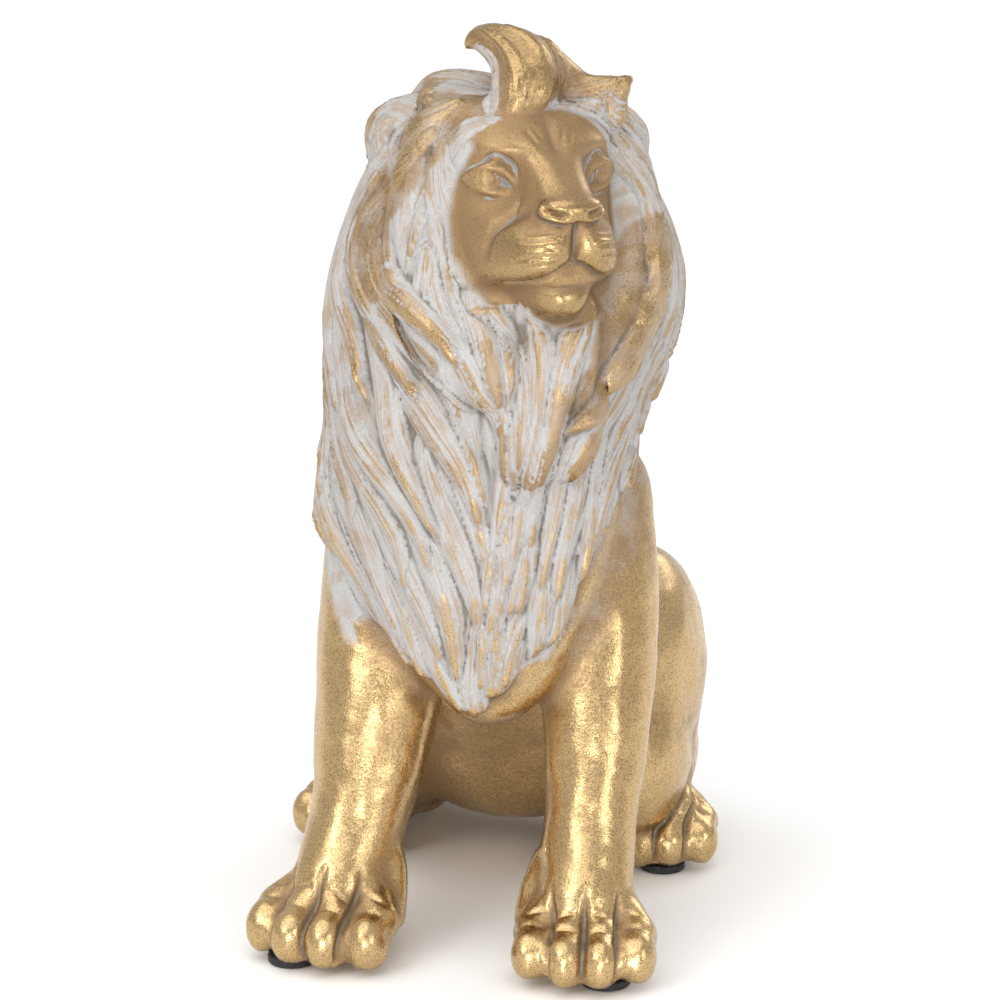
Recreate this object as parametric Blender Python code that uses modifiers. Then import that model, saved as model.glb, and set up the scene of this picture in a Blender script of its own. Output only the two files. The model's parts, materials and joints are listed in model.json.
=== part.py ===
"""Seated lion figurine: one cast body on four anti-slip pads. Metres, +Z up, the lion faces -Y.

The lion is shaped in modelling units: one unit is a 1/224 share of the casting's height. Masses of
ellipsoids and limbs are fused and softened in stages, then locks of hair and the face's creases are laid
on the surface along named lines.
"""
import math

import bmesh
import bpy
import numpy as np
from mathutils import Euler, Matrix, Vector
from mathutils.bvhtree import BVHTree

# Whole figure, with its pads
HEIGHT = 0.2266

# Anti-slip pads
PAD_DIAMETER = 0.012
PAD_THICKNESS = 0.002
PAD_EDGE = 0.0003
PAD_GAP = 0.0003

# Fineness of the casting's surface, in modelling units, and its share of triangles
VOXEL = 1.3
LION_TRIANGLES = 9000

# Mane relief: locks along each row, their half width and their height, in modelling units
LOCK_SPACING = 0.6
LOCK_HALF_WIDTH = 5.8
LOCK_HEIGHT = 2.8

# The sole plane that every paw is cut flat at, in modelling units
SOLE = 2.3

# Pad centres under the paws, in modelling units
PAD_PLACES = {
    "pad_front_left": (36.0, -54.0),
    "pad_front_right": (-42.0, -52.5),
    "pad_hind_left": (39.0, 31.0),
    "pad_hind_right": (-49.0, 33.0),
}

# The head is turned to the lion's left. Its own axes run left, back and up from between the eyes
HEAD_TURN = 32.0
EYES = Vector((19.0, -43.0, 193.0))
HEAD = Matrix.Translation(EYES) @ Matrix.Rotation(math.radians(HEAD_TURN), 4, "Z")
BODY = Matrix.Identity(4)

# Left eyeball in the head's axes, and its radius; the right one mirrors it
EYE = (12.9, 4.7, 0.6)
EYEBALL = 5.6

# Depth of the face behind the point between the eyes, at each distance across it; each row starts with
# its height
FACE_ACROSS = (0, 3, 6, 9, 12, 15, 18, 21)
FACE_DEPTHS = (
    (18, 9.0, 9.0, 9.5, 10.5, 12.0, 14.0, 17.0, 22),
    (15, 2.6, 2.6, 3.0, 4.2, 6.0, 8.6, 12.4, 18),
    (11, -1.4, -2.0, -1.6, -0.6, 1.0, 4.0, 8.6, 15),
    (8, -3.8, -4.8, -4.8, -3.4, -2.0, 0.8, 6.0, 13.5),
    (5, -7.6, -7.8, -6.2, -2.6, -0.8, 1.4, 5.4, 13),
    (2, -11.2, -11.0, -8.2, -1.2, 0.9, 2.4, 5.4, 13),
    (-1, -15.0, -14.6, -11.4, -2.4, 0.9, 2.6, 5.4, 13),
    (-4, -18.2, -17.6, -14.8, -5.8, -0.6, 2.0, 5.2, 13),
    (-7, -18.6, -18.0, -15.6, -9.6, -3.4, 0.8, 5.0, 13.5),
    (-10, -17.2, -17.8, -17.0, -13.8, -8.6, -2.2, 5.0, 14.5),
    (-13, -16.6, -18.6, -18.8, -16.8, -12.6, -4.8, 4.4, 14.5),
    (-16, -16.2, -18.2, -18.6, -17.2, -13.8, -6.6, 4.0, 14.5),
    (-18, -15.0, -16.8, -17.8, -16.8, -13.8, -7.0, 4.0, 14.5),
    (-20, -14.6, -15.4, -16.0, -15.2, -12.8, -6.8, 4.2, 15),
    (-22, -15.6, -15.0, -13.8, -12.2, -9.6, -4.8, 4.8, 15.5),
    (-24, -14.8, -14.4, -12.0, -6.8, -4.2, -0.8, 7.0, 17.5),
    (-27, -15.4, -14.8, -11.0, -3.0, 1.0, 4.8, 11.0, 20),
    (-30, -13.4, -12.4, -7.6, 0.0, 4.4, 9.4, 15.5, 23),
    (-33, -6.0, -5.0, -1.0, 5.0, 10.0, 15.0, 20.0, 25),
)

# Leather of the nose: its middle and its half sizes
NOSE = (0, -15, -5.6)
NOSE_SIZE = (8.4, 4.8, 3.9)

# Each paw's wrist, the middle of its toes, its width and the thickness of a toe
PAWS = (
    ((-31, -38, 17), (-36.5, -58.5, 7.6), 39, 5.5),
    ((29.5, -40, 17), (31.5, -62, 7.6), 36, 5.1),
    ((36, 44, 15), (37.5, 26.5, 7.6), 34, 5.0),
    ((-43, 44, 15), (-49, 28.5, 7.6), 34, 5.0),
)


class Clay:
    """Balls and limbs gathered for one fusing."""

    def __init__(self):
        self.balls = []
        self.limbs = []
        self.solids = []

    def ball(self, centre, radii, turn=(0, 0, 0), frame=BODY):
        tilt = Euler([math.radians(a) for a in turn]).to_matrix().to_4x4()
        self.balls.append(frame @ Matrix.Translation(centre) @ tilt @ Matrix.Diagonal((*radii, 1)))

    def limb(self, points, frame=BODY):
        """A round limb through (x, y, z, radius) points, with round ends."""
        self.limbs.append([(*(frame @ Vector(p[:3])), p[3]) for p in points])
        for x, y, z, r in (points[0], points[-1]):
            self.ball((x, y, z), (r, r, r), frame=frame)

    def chain(self, stations, frame=BODY, per=3):
        """Balls that swell from one (x, y, z, rx, ry, rz) station to the next."""
        for row in smooth_rows(stations, per * (len(stations) - 1) + 1):
            self.ball(row[:3], row[3:6], frame=frame)

    def limb_mesh(self):
        curve = bpy.data.curves.new("limbs", "CURVE")
        curve.dimensions = "3D"
        curve.bevel_depth = 1.0
        curve.bevel_resolution = 4
        curve.use_fill_caps = True
        curve.resolution_u = 5
        for points in self.limbs:
            spline = curve.splines.new("NURBS")
            spline.points.add(len(points) - 1)
            for slot, (x, y, z, r) in zip(spline.points, points):
                slot.co = (x, y, z, 1)
                slot.radius = r
            spline.order_u = min(4, len(points))
            spline.use_endpoint_u = True
        obj = bpy.data.objects.new("limbs", curve)
        bpy.context.scene.collection.objects.link(obj)
        mesh = evaluated(obj)
        bpy.data.objects.remove(obj)
        bpy.data.curves.remove(curve)
        welded = bmesh.new()
        welded.from_mesh(mesh)
        bmesh.ops.remove_doubles(welded, verts=welded.verts, dist=0.0001)
        welded.to_mesh(mesh)
        welded.free()
        return mesh

    def mesh(self, base):
        seed = bmesh.new()
        bmesh.ops.create_uvsphere(seed, u_segments=28, v_segments=18, radius=1)
        unit = bpy.data.meshes.new("unit")
        seed.to_mesh(unit)
        seed.free()
        clay = bmesh.new()
        for place in self.balls:
            placed = unit.copy()
            placed.transform(place)
            clay.from_mesh(placed)
            bpy.data.meshes.remove(placed)
        for solid in self.solids:
            clay.from_mesh(solid)
        if self.limbs:
            clay.from_mesh(self.limb_mesh())
        if base is not None:
            clay.from_mesh(base)
        made = bpy.data.meshes.new("clay")
        clay.to_mesh(made)
        clay.free()
        return made


def smooth_rows(rows, count):
    """count rows on a smooth curve through the given rows."""
    rows = np.array(rows, float)
    ends = np.vstack([2 * rows[0] - rows[1], rows, 2 * rows[-1] - rows[-2]])
    at = np.linspace(0, len(rows) - 1, count)
    i = np.minimum(at.astype(int), len(rows) - 2)
    t = (at - i)[:, None]
    a, b, c, d = ends[i], ends[i + 1], ends[i + 2], ends[i + 3]
    bend = (2 * a - 5 * b + 4 * c - d) * t ** 2
    return 0.5 * (2 * b + (c - a) * t + bend + (3 * b - a - 3 * c + d) * t ** 3)


def evaluated(obj):
    return bpy.data.meshes.new_from_object(obj.evaluated_get(bpy.context.evaluated_depsgraph_get()))


def shaped(mesh, steps):
    """The mesh after the given modifiers, each a (type, settings) pair."""
    obj = bpy.data.objects.new("clay", mesh)
    bpy.context.scene.collection.objects.link(obj)
    for kind, settings in steps:
        modifier = obj.modifiers.new(kind.lower(), kind)
        for name, value in settings.items():
            setattr(modifier, name, value)
    made = evaluated(obj)
    bpy.data.objects.remove(obj)
    return made


def fuse(clay, base, voxel, rounds):
    steps = [("REMESH", {"mode": "VOXEL", "voxel_size": voxel})]
    if rounds:
        steps.append(("SMOOTH", {"factor": 0.5, "iterations": rounds}))
    return shaped(clay.mesh(base), steps)


def masses(clay):
    """Trunk, seat, haunches, shoulders and the mane's mass."""
    clay.chain([(0, -2, 118, 33, 33, 34), (-1, 12, 100, 33, 35, 37), (-2, 27, 80, 34, 35, 38),
                (-3, 41, 60, 36, 35, 38), (-4, 51, 42, 38, 35, 36)])
    clay.chain([(2, -14, 108, 30, 27, 30), (2, -20, 84, 27, 20, 24)])
    clay.chain([(-4, 66, 18, 36, 19, 14), (-5, 52, 22, 30, 14, 12)])
    for side, x in ((1, 28.5), (-1, -35)):
        clay.ball((x, 43, 50), (19.5, 33, 36), (-20, 0, -8 * side))
        clay.ball((x + 3 * side, 28, 32), (15, 22, 22), (-20, 0, -8 * side))
        clay.ball((x + 2 * side, 54, 24), (15, 28, 18), (0, 0, -6 * side))
    clay.ball((-23, -6, 99), (20, 26, 41), (10, 0, 0))
    clay.ball((19, -6, 100), (19, 26, 42), (10, 0, 0))
    clay.chain([(4, -9, 196, 26, 24, 16), (3.5, -9, 183, 34.5, 31, 24), (3, -5, 166, 41, 35, 27),
                (0.5, -2, 148, 40.5, 37, 27), (-3, 0, 130, 37.5, 37, 26)])
    clay.chain([(3, -20, 146, 34, 27, 24), (1, -20, 128, 34.5, 28, 26), (2.5, -24.5, 110, 31.5, 23.5, 24),
                (3, -28, 94, 28, 20.5, 22), (3, -31.5, 79, 22, 15, 17), (4.5, -35.5, 67, 13, 10, 10)])


def forelegs(clay):
    clay.limb([(-24, -4, 108, 18), (-26, -10, 84, 18), (-26.5, -19, 62, 17), (-27.5, -27, 44, 14.6),
               (-29.5, -34, 28, 12), (-33, -42, 16, 12)])
    clay.limb([(22, -4, 108, 18), (26, -10, 84, 17.5), (29, -21, 62, 14.5), (29.5, -29, 46, 12.5),
               (29, -35, 30, 11.4), (29.5, -44, 16, 12)])


def tail(clay):
    """From the rump round the right haunch, ending in a tuft."""
    clay.limb([(-6, 80, 26, 7), (-14, 86, 12, 7), (-34, 82, 8.6, 6), (-48, 70, 8.6, 5.6),
               (-54, 58, 8.6, 6.2), (-57, 48, 8.2, 3)])


def toes(wrist, middle, width, toe):
    """The way a paw points, and the root, knuckle and tip of its four toes."""
    wrist, middle = Vector(wrist), Vector(middle)
    ahead = middle - wrist
    ahead.z = 0
    ahead.normalize()
    across = Vector((-ahead.y, ahead.x, 0))
    found = []
    for i in range(4):
        u = (i - 1.5) / 1.5
        tip = middle + across * (width / 2 - toe) * u - ahead * (u * u * 4.5)
        knuckle = tip - ahead * 6 + Vector((0, 0, 4.6 - u * u))
        found.append((wrist + across * 6 * u + Vector((0, 0, 1)), knuckle, tip))
    return ahead, found


def paw(clay, wrist, middle, width, toe):
    """Toes with a claw's swelling on each, and the hand behind them."""
    ahead, found = toes(wrist, middle, width, toe)
    spin = math.degrees(math.atan2(ahead.x, -ahead.y))
    for root, knuckle, tip in found:
        bend = root.lerp(knuckle, 0.6) + Vector((0, 0, 1.6))
        clay.limb([(*root, toe * 0.86), (*bend, toe * 0.88), (*knuckle, toe * 0.92)])
        clay.ball(knuckle, (toe * 0.96, toe * 1.1, toe), (0, 0, spin))
        clay.ball(tip + Vector((0, 0, 0.2)), (toe * 0.96, toe * 1.15, toe * 1.35), (0, 0, spin))
        claw = tip + ahead * (toe * 0.92) + Vector((0, 0, -1.6))
        clay.ball(claw, (toe * 0.3, toe * 0.34, toe * 0.5), (0, 0, spin))
    palm = Vector(wrist).lerp(Vector(middle), 0.45)
    clay.ball((palm.x, palm.y, 8), (width * 0.42, 15, 8), (0, 0, spin))


def paws(clay):
    for sizes in PAWS:
        paw(clay, *sizes)
    # dewclaws
    clay.limb([(-21, -36, 24, 4), (-18.5, -40, 17, 3.8), (-18, -44, 10, 3.4)])
    clay.limb([(19, -37, 24, 4), (15.5, -41, 17, 3.8), (15, -44, 11, 3.4)])
    # hind feet
    clay.limb([(30, 62, 12, 11), (35, 48, 13, 11), (38, 36, 13, 11)])
    clay.limb([(-34, 62, 12, 11), (-40, 48, 13, 11), (-44, 36, 13, 11)])


def face_mask():
    """The face as a smooth skin over its depths, closed behind."""
    heights = np.array([row[0] for row in FACE_DEPTHS], float)
    rows = np.array([row[1:] for row in FACE_DEPTHS], float)
    down = smooth_rows(np.column_stack([heights, rows]), 6 * (len(rows) - 1) + 1)
    across = smooth_rows(np.column_stack([FACE_ACROSS, down[:, 1:].T]), 5 * (len(FACE_ACROSS) - 1) + 1)
    x, depth = across[:, 0], across[:, 1:]
    x = np.concatenate([-x[:0:-1], x])
    depth = np.concatenate([depth[:0:-1], depth])
    skin = bmesh.new()
    front = [[skin.verts.new(HEAD @ Vector((x[i], depth[i, j], down[j, 0]))) for j in range(len(down))]
             for i in range(len(x))]
    rear = [[skin.verts.new(HEAD @ Vector((x[i] * 0.9, 28, down[j, 0]))) for j in range(len(down))]
            for i in range(len(x))]
    for i in range(len(x) - 1):
        for j in range(len(down) - 1):
            skin.faces.new((front[i][j], front[i][j + 1], front[i + 1][j + 1], front[i + 1][j]))
            skin.faces.new((rear[i][j], rear[i + 1][j], rear[i + 1][j + 1], rear[i][j + 1]))
    for i in range(len(x) - 1):
        skin.faces.new((front[i][0], front[i + 1][0], rear[i + 1][0], rear[i][0]))
        skin.faces.new((front[i][-1], rear[i][-1], rear[i + 1][-1], front[i + 1][-1]))
    for j in range(len(down) - 1):
        skin.faces.new((front[0][j], rear[0][j], rear[0][j + 1], front[0][j + 1]))
        skin.faces.new((front[-1][j], front[-1][j + 1], rear[-1][j + 1], rear[-1][j]))
    bmesh.ops.recalc_face_normals(skin, faces=skin.faces)
    mesh = bpy.data.meshes.new("face")
    skin.to_mesh(mesh)
    skin.free()
    return mesh


def head(clay):
    clay.solids.append(face_mask())
    clay.ball(NOSE, NOSE_SIZE, frame=HEAD)
    for s in (-1, 1):
        clay.ball((EYE[0] * s, EYE[1], EYE[2]), (EYEBALL, EYEBALL, EYEBALL), frame=HEAD)


def crest(clay):
    """Ears, forelock, tuft and the hair swept up behind them."""
    clay.ball((0, 19, -4), (20, 20, 20), frame=HEAD)
    for s in (-1, 1):
        clay.ball((25 * s, 31, 6.5), (6.8, 4.6, 7), (0, 0, 28 * s), frame=HEAD)
        clay.ball((22 * s, 37, 1), (8, 8, 11), frame=HEAD)
    # hair that frames the face
    clay.chain([(-1, -37, 205, 7, 6, 6), (-7, -37, 198, 8, 7, 9), (-10.5, -38, 184, 8, 7, 10),
                (-9, -40, 170, 8.5, 7, 10), (-2, -43, 157, 9, 7.5, 9), (8, -44, 147, 10, 8, 9)])
    clay.chain([(28, -20, 201, 7, 7, 6), (32, -18, 192, 7, 8, 8), (34, -19, 180, 7, 8, 9),
                (34, -24, 166, 8, 8, 9), (28, -34, 152, 8, 8, 9)])
    # throat
    clay.chain([(23, -42, 161, 9, 7, 7), (20, -44, 149, 12, 7, 10), (15, -44, 134, 14, 7, 12)])
    clay.chain([(4, -41, 163, 8, 7, 7), (8, -43, 148, 11, 7, 11)])
    clay.chain([(-9, 6, -27, 8, 8, 7), (0, 3, -32, 9, 8, 6), (9, 6, -27, 8, 8, 7)], frame=HEAD)
    # forelock
    clay.limb([(7.5, -41.5, 202, 2.6), (10, -40, 206, 6), (13.5, -36.5, 212, 8.6), (12.5, -33, 219, 7.8),
               (6, -30, 223, 5.2), (0, -28.5, 225, 3.4), (-2.8, -28, 221.5, 1.3)])
    clay.chain([(15, -29, 219, 5.5, 5, 5), (20, -25, 213.5, 6, 6, 5.5), (22, -23, 209, 7, 7, 6)])
    clay.chain([(-12, -20, 200, 12, 11, 10), (6, -17, 206, 16, 13, 9), (23, -14, 200, 13, 12, 10)])
    # tuft
    clay.chain([(16, -27, 206, 7, 5, 7), (24, -26.5, 207.5, 7, 4, 8), (30, -26, 209, 5, 3, 7),
                (34, -25.5, 212.4, 2.6, 2, 3.4), (37, -25, 215.4, 0.9, 0.9, 0.9)], per=4)


def lids(clay):
    upper = ((7.8, -3.2, -2.4, 0.6), (9.6, -1.5, 1.6, 1.0), (12.6, -0.9, 3.9, 1.3), (16.2, 0.5, 3.3, 1.2),
             (19, 5.4, 0.6, 0.6))
    lower = ((7.8, -3.2, -2.4, 0.6), (10, -1.1, -2.5, 0.9), (12.8, -0.6, -3, 1.0), (16.2, 1.0, -2, 0.9),
             (19, 5.4, 0.6, 0.6))
    for s in (-1, 1):
        for rim in (upper, lower):
            clay.limb([(x * s, y, z, r) for x, y, z, r in rim], frame=HEAD)


def rough(voxel):
    clay = Clay()
    masses(clay)
    mesh = fuse(clay, None, 2.0, 24)
    clay = Clay()
    forelegs(clay)
    tail(clay)
    mesh = fuse(clay, mesh, 1.6, 10)
    clay = Clay()
    paws(clay)
    crest(clay)
    mesh = fuse(clay, mesh, 1.2, 4)
    clay = Clay()
    head(clay)
    mesh = fuse(clay, mesh, 0.9, 2)
    clay = Clay()
    lids(clay)
    return fuse(clay, mesh, voxel, 1)


def line(*points):
    return smooth_rows(points, 25)


# Lines that the mane flows along, round the head from the right cheek over the back to the left cheek
MANE_LINES = np.array([
    line((-3, -42, 203), (-4, -48, 188), (-1, -50, 172), (6, -46, 157), (12, -49, 144), (14, -50, 128),
         (12, -51, 105), (8, -50, 84)),
    line((-7, -40, 203), (-16, -33, 184), (-14, -38, 166), (0, -47, 148), (9, -51, 130), (11, -50, 108),
         (8, -50, 86), (6, -46, 68)),
    line((-12, -36, 204), (-27, -27, 181), (-27, -31, 160), (-12, -46, 140), (-1, -51, 118), (2, -51, 94),
         (2, -48, 76), (3, -45, 62)),
    line((-16, -28, 203), (-34, -19, 181), (-40, -13, 160), (-34, -25, 138), (-18, -44, 115),
         (-9, -49, 92), (-5, -47, 75), (-1, -44, 64)),
    line((-18, -20, 203), (-37, -8, 182), (-43, -2, 160), (-42, -6, 140), (-34, -24, 120),
         (-27, -35, 99), (-17, -42, 80), (-8, -43, 68)),
    line((-16, -12, 206), (-36, 4, 184), (-43, 10, 161), (-43, 6, 142), (-41, -5, 125), (-37, -18, 108),
         (-31, -29, 92), (-22, -36, 78)),
    line((-10, -6, 209), (-28, 16, 186), (-36, 26, 162), (-39, 24, 142), (-41, 15, 129), (-41, 4, 120)),
    line((-4, -2, 210), (-14, 22, 188), (-18, 34, 162), (-19, 37, 138), (-20, 38, 118), (-22, 36, 102)),
    line((4, -1, 211), (2, 24, 188), (1, 36, 162), (0, 38, 138), (-1, 40, 118), (-1, 44, 102)),
    line((10, -2, 210), (18, 20, 188), (20, 33, 162), (19, 36, 138), (18, 38, 118), (18, 36, 102)),
    line((15, -4, 209), (30, 12, 187), (37, 22, 163), (37, 23, 143), (37, 16, 131), (37, 6, 124)),
    line((20, -8, 208), (37, 2, 184), (44, 6, 163), (42, 4, 146), (38, -4, 134), (35, -14, 124)),
    line((24, -14, 206), (40, -8, 182), (45, -8, 162), (40, -15, 145), (35, -26, 129), (30, -35, 112),
         (26, -38, 98)),
    line((28, -20, 203), (39, -14, 184), (42, -16, 165), (37, -26, 147), (31, -40, 128), (26, -44, 106),
         (22, -42, 87), (16, -42, 74)),
    line((31, -24, 200), (37, -18, 186), (38, -24, 169), (33, -35, 150), (25, -46, 136), (21, -49, 112),
         (16, -48, 88), (11, -45, 70)),
])
CHEST_LINES = np.array([
    line((3, -46, 166), (9, -47, 150), (12, -50, 130), (8, -51, 106), (5, -49, 84), (4, -46, 68)),
    line((14, -44, 166), (16, -48, 150), (16, -50, 128), (12, -51, 104), (9, -49, 84), (7, -46, 68)),
    line((28, -42, 166), (24, -47, 150), (20, -49, 128), (17, -51, 104), (13, -49, 84), (9, -45, 68)),
])


def on_lines(lines, s, t):
    """Points at fractional line numbers s and shares t along them."""
    s = np.clip(s, 0, len(lines) - 1)
    i = np.minimum(s.astype(int), len(lines) - 2)
    f = (s - i)[:, None]
    at = np.clip(t, 0, 1) * (lines.shape[1] - 1)
    j = np.minimum(at.astype(int), lines.shape[1] - 2)
    g = (at - j)[:, None]
    near = lines[i, j] * (1 - g) + lines[i, j + 1] * g
    far = lines[i + 1, j] * (1 - g) + lines[i + 1, j + 1] * g
    return near * (1 - f) + far * f


def mane_locks():
    """Every lock as (centreline, half width, height, lift, crest shift)."""
    rng = np.random.default_rng(11)
    locks = []
    for t0, t1, lift in ((0.66, 1.0, 0.1), (0.48, 0.84, 0.6), (0.3, 0.68, 1.0), (0.1, 0.5, 1.4)):
        for s in (-0.1, 0.4, 0.8, 1.2, 1.6, 2.1):
            t = np.linspace(t0 + rng.uniform(-0.08, 0.08), t1 + rng.uniform(-0.08, 0.08), 12)
            sway = rng.uniform(0.1, 0.26) * rng.choice((-1, 1)) * np.sin(np.linspace(0, 5, 12))
            path = on_lines(CHEST_LINES, s + sway, t)
            locks.append((path, rng.uniform(0.6, 0.8) * LOCK_HALF_WIDTH, rng.uniform(0.8, 1.1) * LOCK_HEIGHT,
                          lift, rng.uniform(-0.3, 0.3)))
    u = np.linspace(0, 1, 14)
    for row, (t0, t1) in enumerate(((0.62, 1.02), (0.44, 0.88), (0.24, 0.70), (0.02, 0.52))):
        s = 0.25 * (row % 2)
        while s < len(MANE_LINES) - 0.9:
            t = np.linspace(t0 + rng.uniform(-0.05, 0.05), t1 + rng.uniform(-0.08, 0.08), 14)
            turns = 2 * np.pi * (u * rng.uniform(0.7, 1.0) + rng.uniform(-0.1, 0.1))
            sway = rng.uniform(0.12, 0.34) * rng.choice((-1, 1)) * np.sin(turns)
            path = on_lines(MANE_LINES, s + sway, t)
            half = rng.uniform(0.86, 1.14) * LOCK_HALF_WIDTH
            tall = rng.uniform(0.85, 1.25) * LOCK_HEIGHT
            locks.append((path, half, tall, 0.5 * row, rng.uniform(-0.35, 0.35)))
            s += LOCK_SPACING * rng.uniform(0.85, 1.15)
    # heavy locks beside the right ear, on the right cheek and inside the left of the mane
    heavy = (
        ([(-2, -39, 208), (-7, -38, 204), (-12, -35, 197), (-17, -31, 190), (-22, -27, 183),
          (-27, -22, 174)], 5.2, 2.2),
        ([(4, -34, 208), (-4, -31, 208), (-13, -27, 205), (-22, -22, 199), (-29, -16, 190)], 5.0, 2.6),
        ([(6, -26, 211), (-2, -22, 210), (-11, -17, 206), (-20, -12, 200)], 5.0, 2.6),
        ([(22, -26, 204), (28, -21, 203), (33, -15, 199), (38, -10, 192)], 4.6, 2.4),
        ([(-18, -34, 184), (-25, -30, 177), (-27, -30, 168), (-24, -34, 158), (-15, -42, 147),
          (-7, -47, 139)], 6.0, 3.4),
        ([(34, -20, 192), (38, -18, 180), (39, -20, 168), (36, -29, 154), (29, -41, 143), (22, -48, 133)],
         6.0, 3.6),
    )
    for points, half, tall in heavy:
        locks.append((smooth_rows(points, 14), half, tall, 1.2, 0.0))
    # fringe along the hairline, then ridges along the forelock and the tuft
    ridges = (
        [(12, -41, 204), (18, -39, 206), (26, -34, 204), (32, -27, 198), (36, -21, 188), (37, -20, 177)],
        [(16, -37, 207), (22, -34, 208), (29, -29, 206), (35, -21, 199), (38, -16, 188)],
        [(9, -42, 203), (2, -43, 203), (-4, -42, 198), (-9, -40, 189), (-11, -39, 179), (-10, -40, 168)],
        [(9, -44, 203), (11.5, -45, 208), (12.5, -44, 214), (11, -40, 220), (5, -35, 225), (-1, -31, 227)],
        [(15, -43, 205), (18, -42, 211), (17.5, -38, 217), (12, -34, 223), (5, -31, 227)],
        [(20, -35, 207), (21, -33, 213), (17, -30, 220), (11, -28, 225)],
        [(6, -42, 205), (7, -40, 211), (6, -37, 217), (2, -33, 221), (-2, -30, 222)],
        [(19, -31, 204), (26, -31, 206), (32, -29, 210), (37, -25, 215)],
        [(18, -31, 210), (25, -30, 211), (32, -28, 213), (37, -25, 216)],
    )
    for points in ridges:
        locks.append((smooth_rows(points, 14), 2.9, 0.8, 0.0, 0.2))
    return locks


def near_path(co, no, path, half):
    """Vertices near a path: their numbers, share along it and side distance over its half width."""
    reach = half * 1.1
    inside = np.all((co > path.min(0) - reach) & (co < path.max(0) + reach), axis=1)
    index = np.nonzero(inside)[0]
    point, normal = co[index], no[index]
    run = path[1:] - path[:-1]
    rel = point[:, None, :] - path[None, :-1]
    length = np.maximum((run * run).sum(1), 1e-6)
    along = np.clip((rel * run[None]).sum(2) / length[None], 0, 1)
    off = rel - along[..., None] * run[None]
    deep = (off * normal[:, None, :]).sum(2)
    flat = off - deep[..., None] * normal[:, None, :]
    k = ((flat ** 2).sum(2) + 0.3 * deep ** 2).argmin(1)
    row = np.arange(len(index))
    flat, deep = flat[row, k], deep[row, k]
    side = np.sign((np.cross(run[k], normal) * flat).sum(1))
    gap = np.where(np.abs(deep) > 9, 99, np.sqrt((flat ** 2).sum(1)))
    return index, (k + along[row, k]) / len(run), side * gap / half


def evened(values, mesh, rounds):
    """Vertex values averaged with their neighbours'."""
    edges = np.zeros(len(mesh.edges) * 2, np.int32)
    mesh.edges.foreach_get("vertices", edges)
    one, other = edges[0::2], edges[1::2]
    count = len(values)
    number = np.bincount(one, minlength=count) + np.bincount(other, minlength=count)
    for _ in range(rounds):
        total = np.bincount(one, values[other], count) + np.bincount(other, values[one], count)
        values = 0.5 * values + 0.5 * total / np.maximum(number, 1)
    return values


def bell(x):
    return 0.5 + 0.5 * np.cos(np.pi * np.clip(x, -1, 1))


def snapped(tree, points, frame):
    """The points brought onto the surface, evened along the path."""
    path = np.array([tree.find_nearest(frame @ Vector(p))[0] for p in points])
    for _ in range(2):
        path[1:-1] = (path[:-2] + 2 * path[1:-1] + path[2:]) / 4
    return path


def face_share(co):
    """0 on the face, 1 away from it."""
    back = np.array(HEAD.inverted())
    x, y, z = (co @ back[:3, :3].T + back[:3, 3]).T
    reach = (np.abs(x / 21) ** 2.4 + np.abs((z + 9) / 26.5) ** 2.4) ** (1 / 2.4)
    outside = np.clip((reach - 0.9) / 0.1, 0, 1)
    return np.maximum(outside, np.clip((y - 12 + 20 * np.clip(-28 - z, 0, 1)) / 4, 0, 1))


def mane_relief(co, no, tree):
    relief = np.zeros(len(co))
    for path, half, tall, lift, crest in mane_locks():
        index, t, d = near_path(co, no, snapped(tree, path, BODY), half)
        width = np.minimum(0.35 + 3.2 * t, 1) * np.clip((1 - t) / 0.5, 0, 1) ** 0.65
        rise = (0.3 + 0.7 * np.clip(t / 0.6, 0, 1) ** 1.2) * np.clip((1 - t) / 0.1, 0, 1) ** 0.7
        x = d / np.maximum(width, 0.001)
        edge = np.clip(1 - np.abs(x) ** 1.7, 0, 1) * (1 + crest * np.clip(x, -1, 1))
        height = (tall * edge + lift * np.clip(edge * 4, 0, 1)) * rise
        relief[index] = np.maximum(relief[index], height)
    return relief * face_share(co)


def groove(co, no, tree, points, half, depth, ends=0.25, frame=HEAD):
    """A crease along a path given in a frame's axes."""
    path = snapped(tree, smooth_rows(points, 6 * (len(points) - 1) + 1), frame)
    index, t, d = near_path(co, no, path, half)
    fade = np.clip(np.minimum(t, 1 - t) / ends, 0, 1) ** 0.6
    co[index] -= no[index] * (depth * bell(d) * fade)[:, None]


def dish(co, centre, direction, radius, depth):
    """A round hollow pushed along a direction in the head's axes."""
    middle = np.array(HEAD @ Vector(centre))
    push = np.array((HEAD.to_3x3() @ Vector(direction)).normalized())
    rel = co - middle
    along = rel @ push
    out = np.sqrt(np.maximum((rel ** 2).sum(1) - along ** 2, 0))
    co += push[None] * (depth * bell(out / radius) * (np.abs(along) < radius))[:, None]


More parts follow.
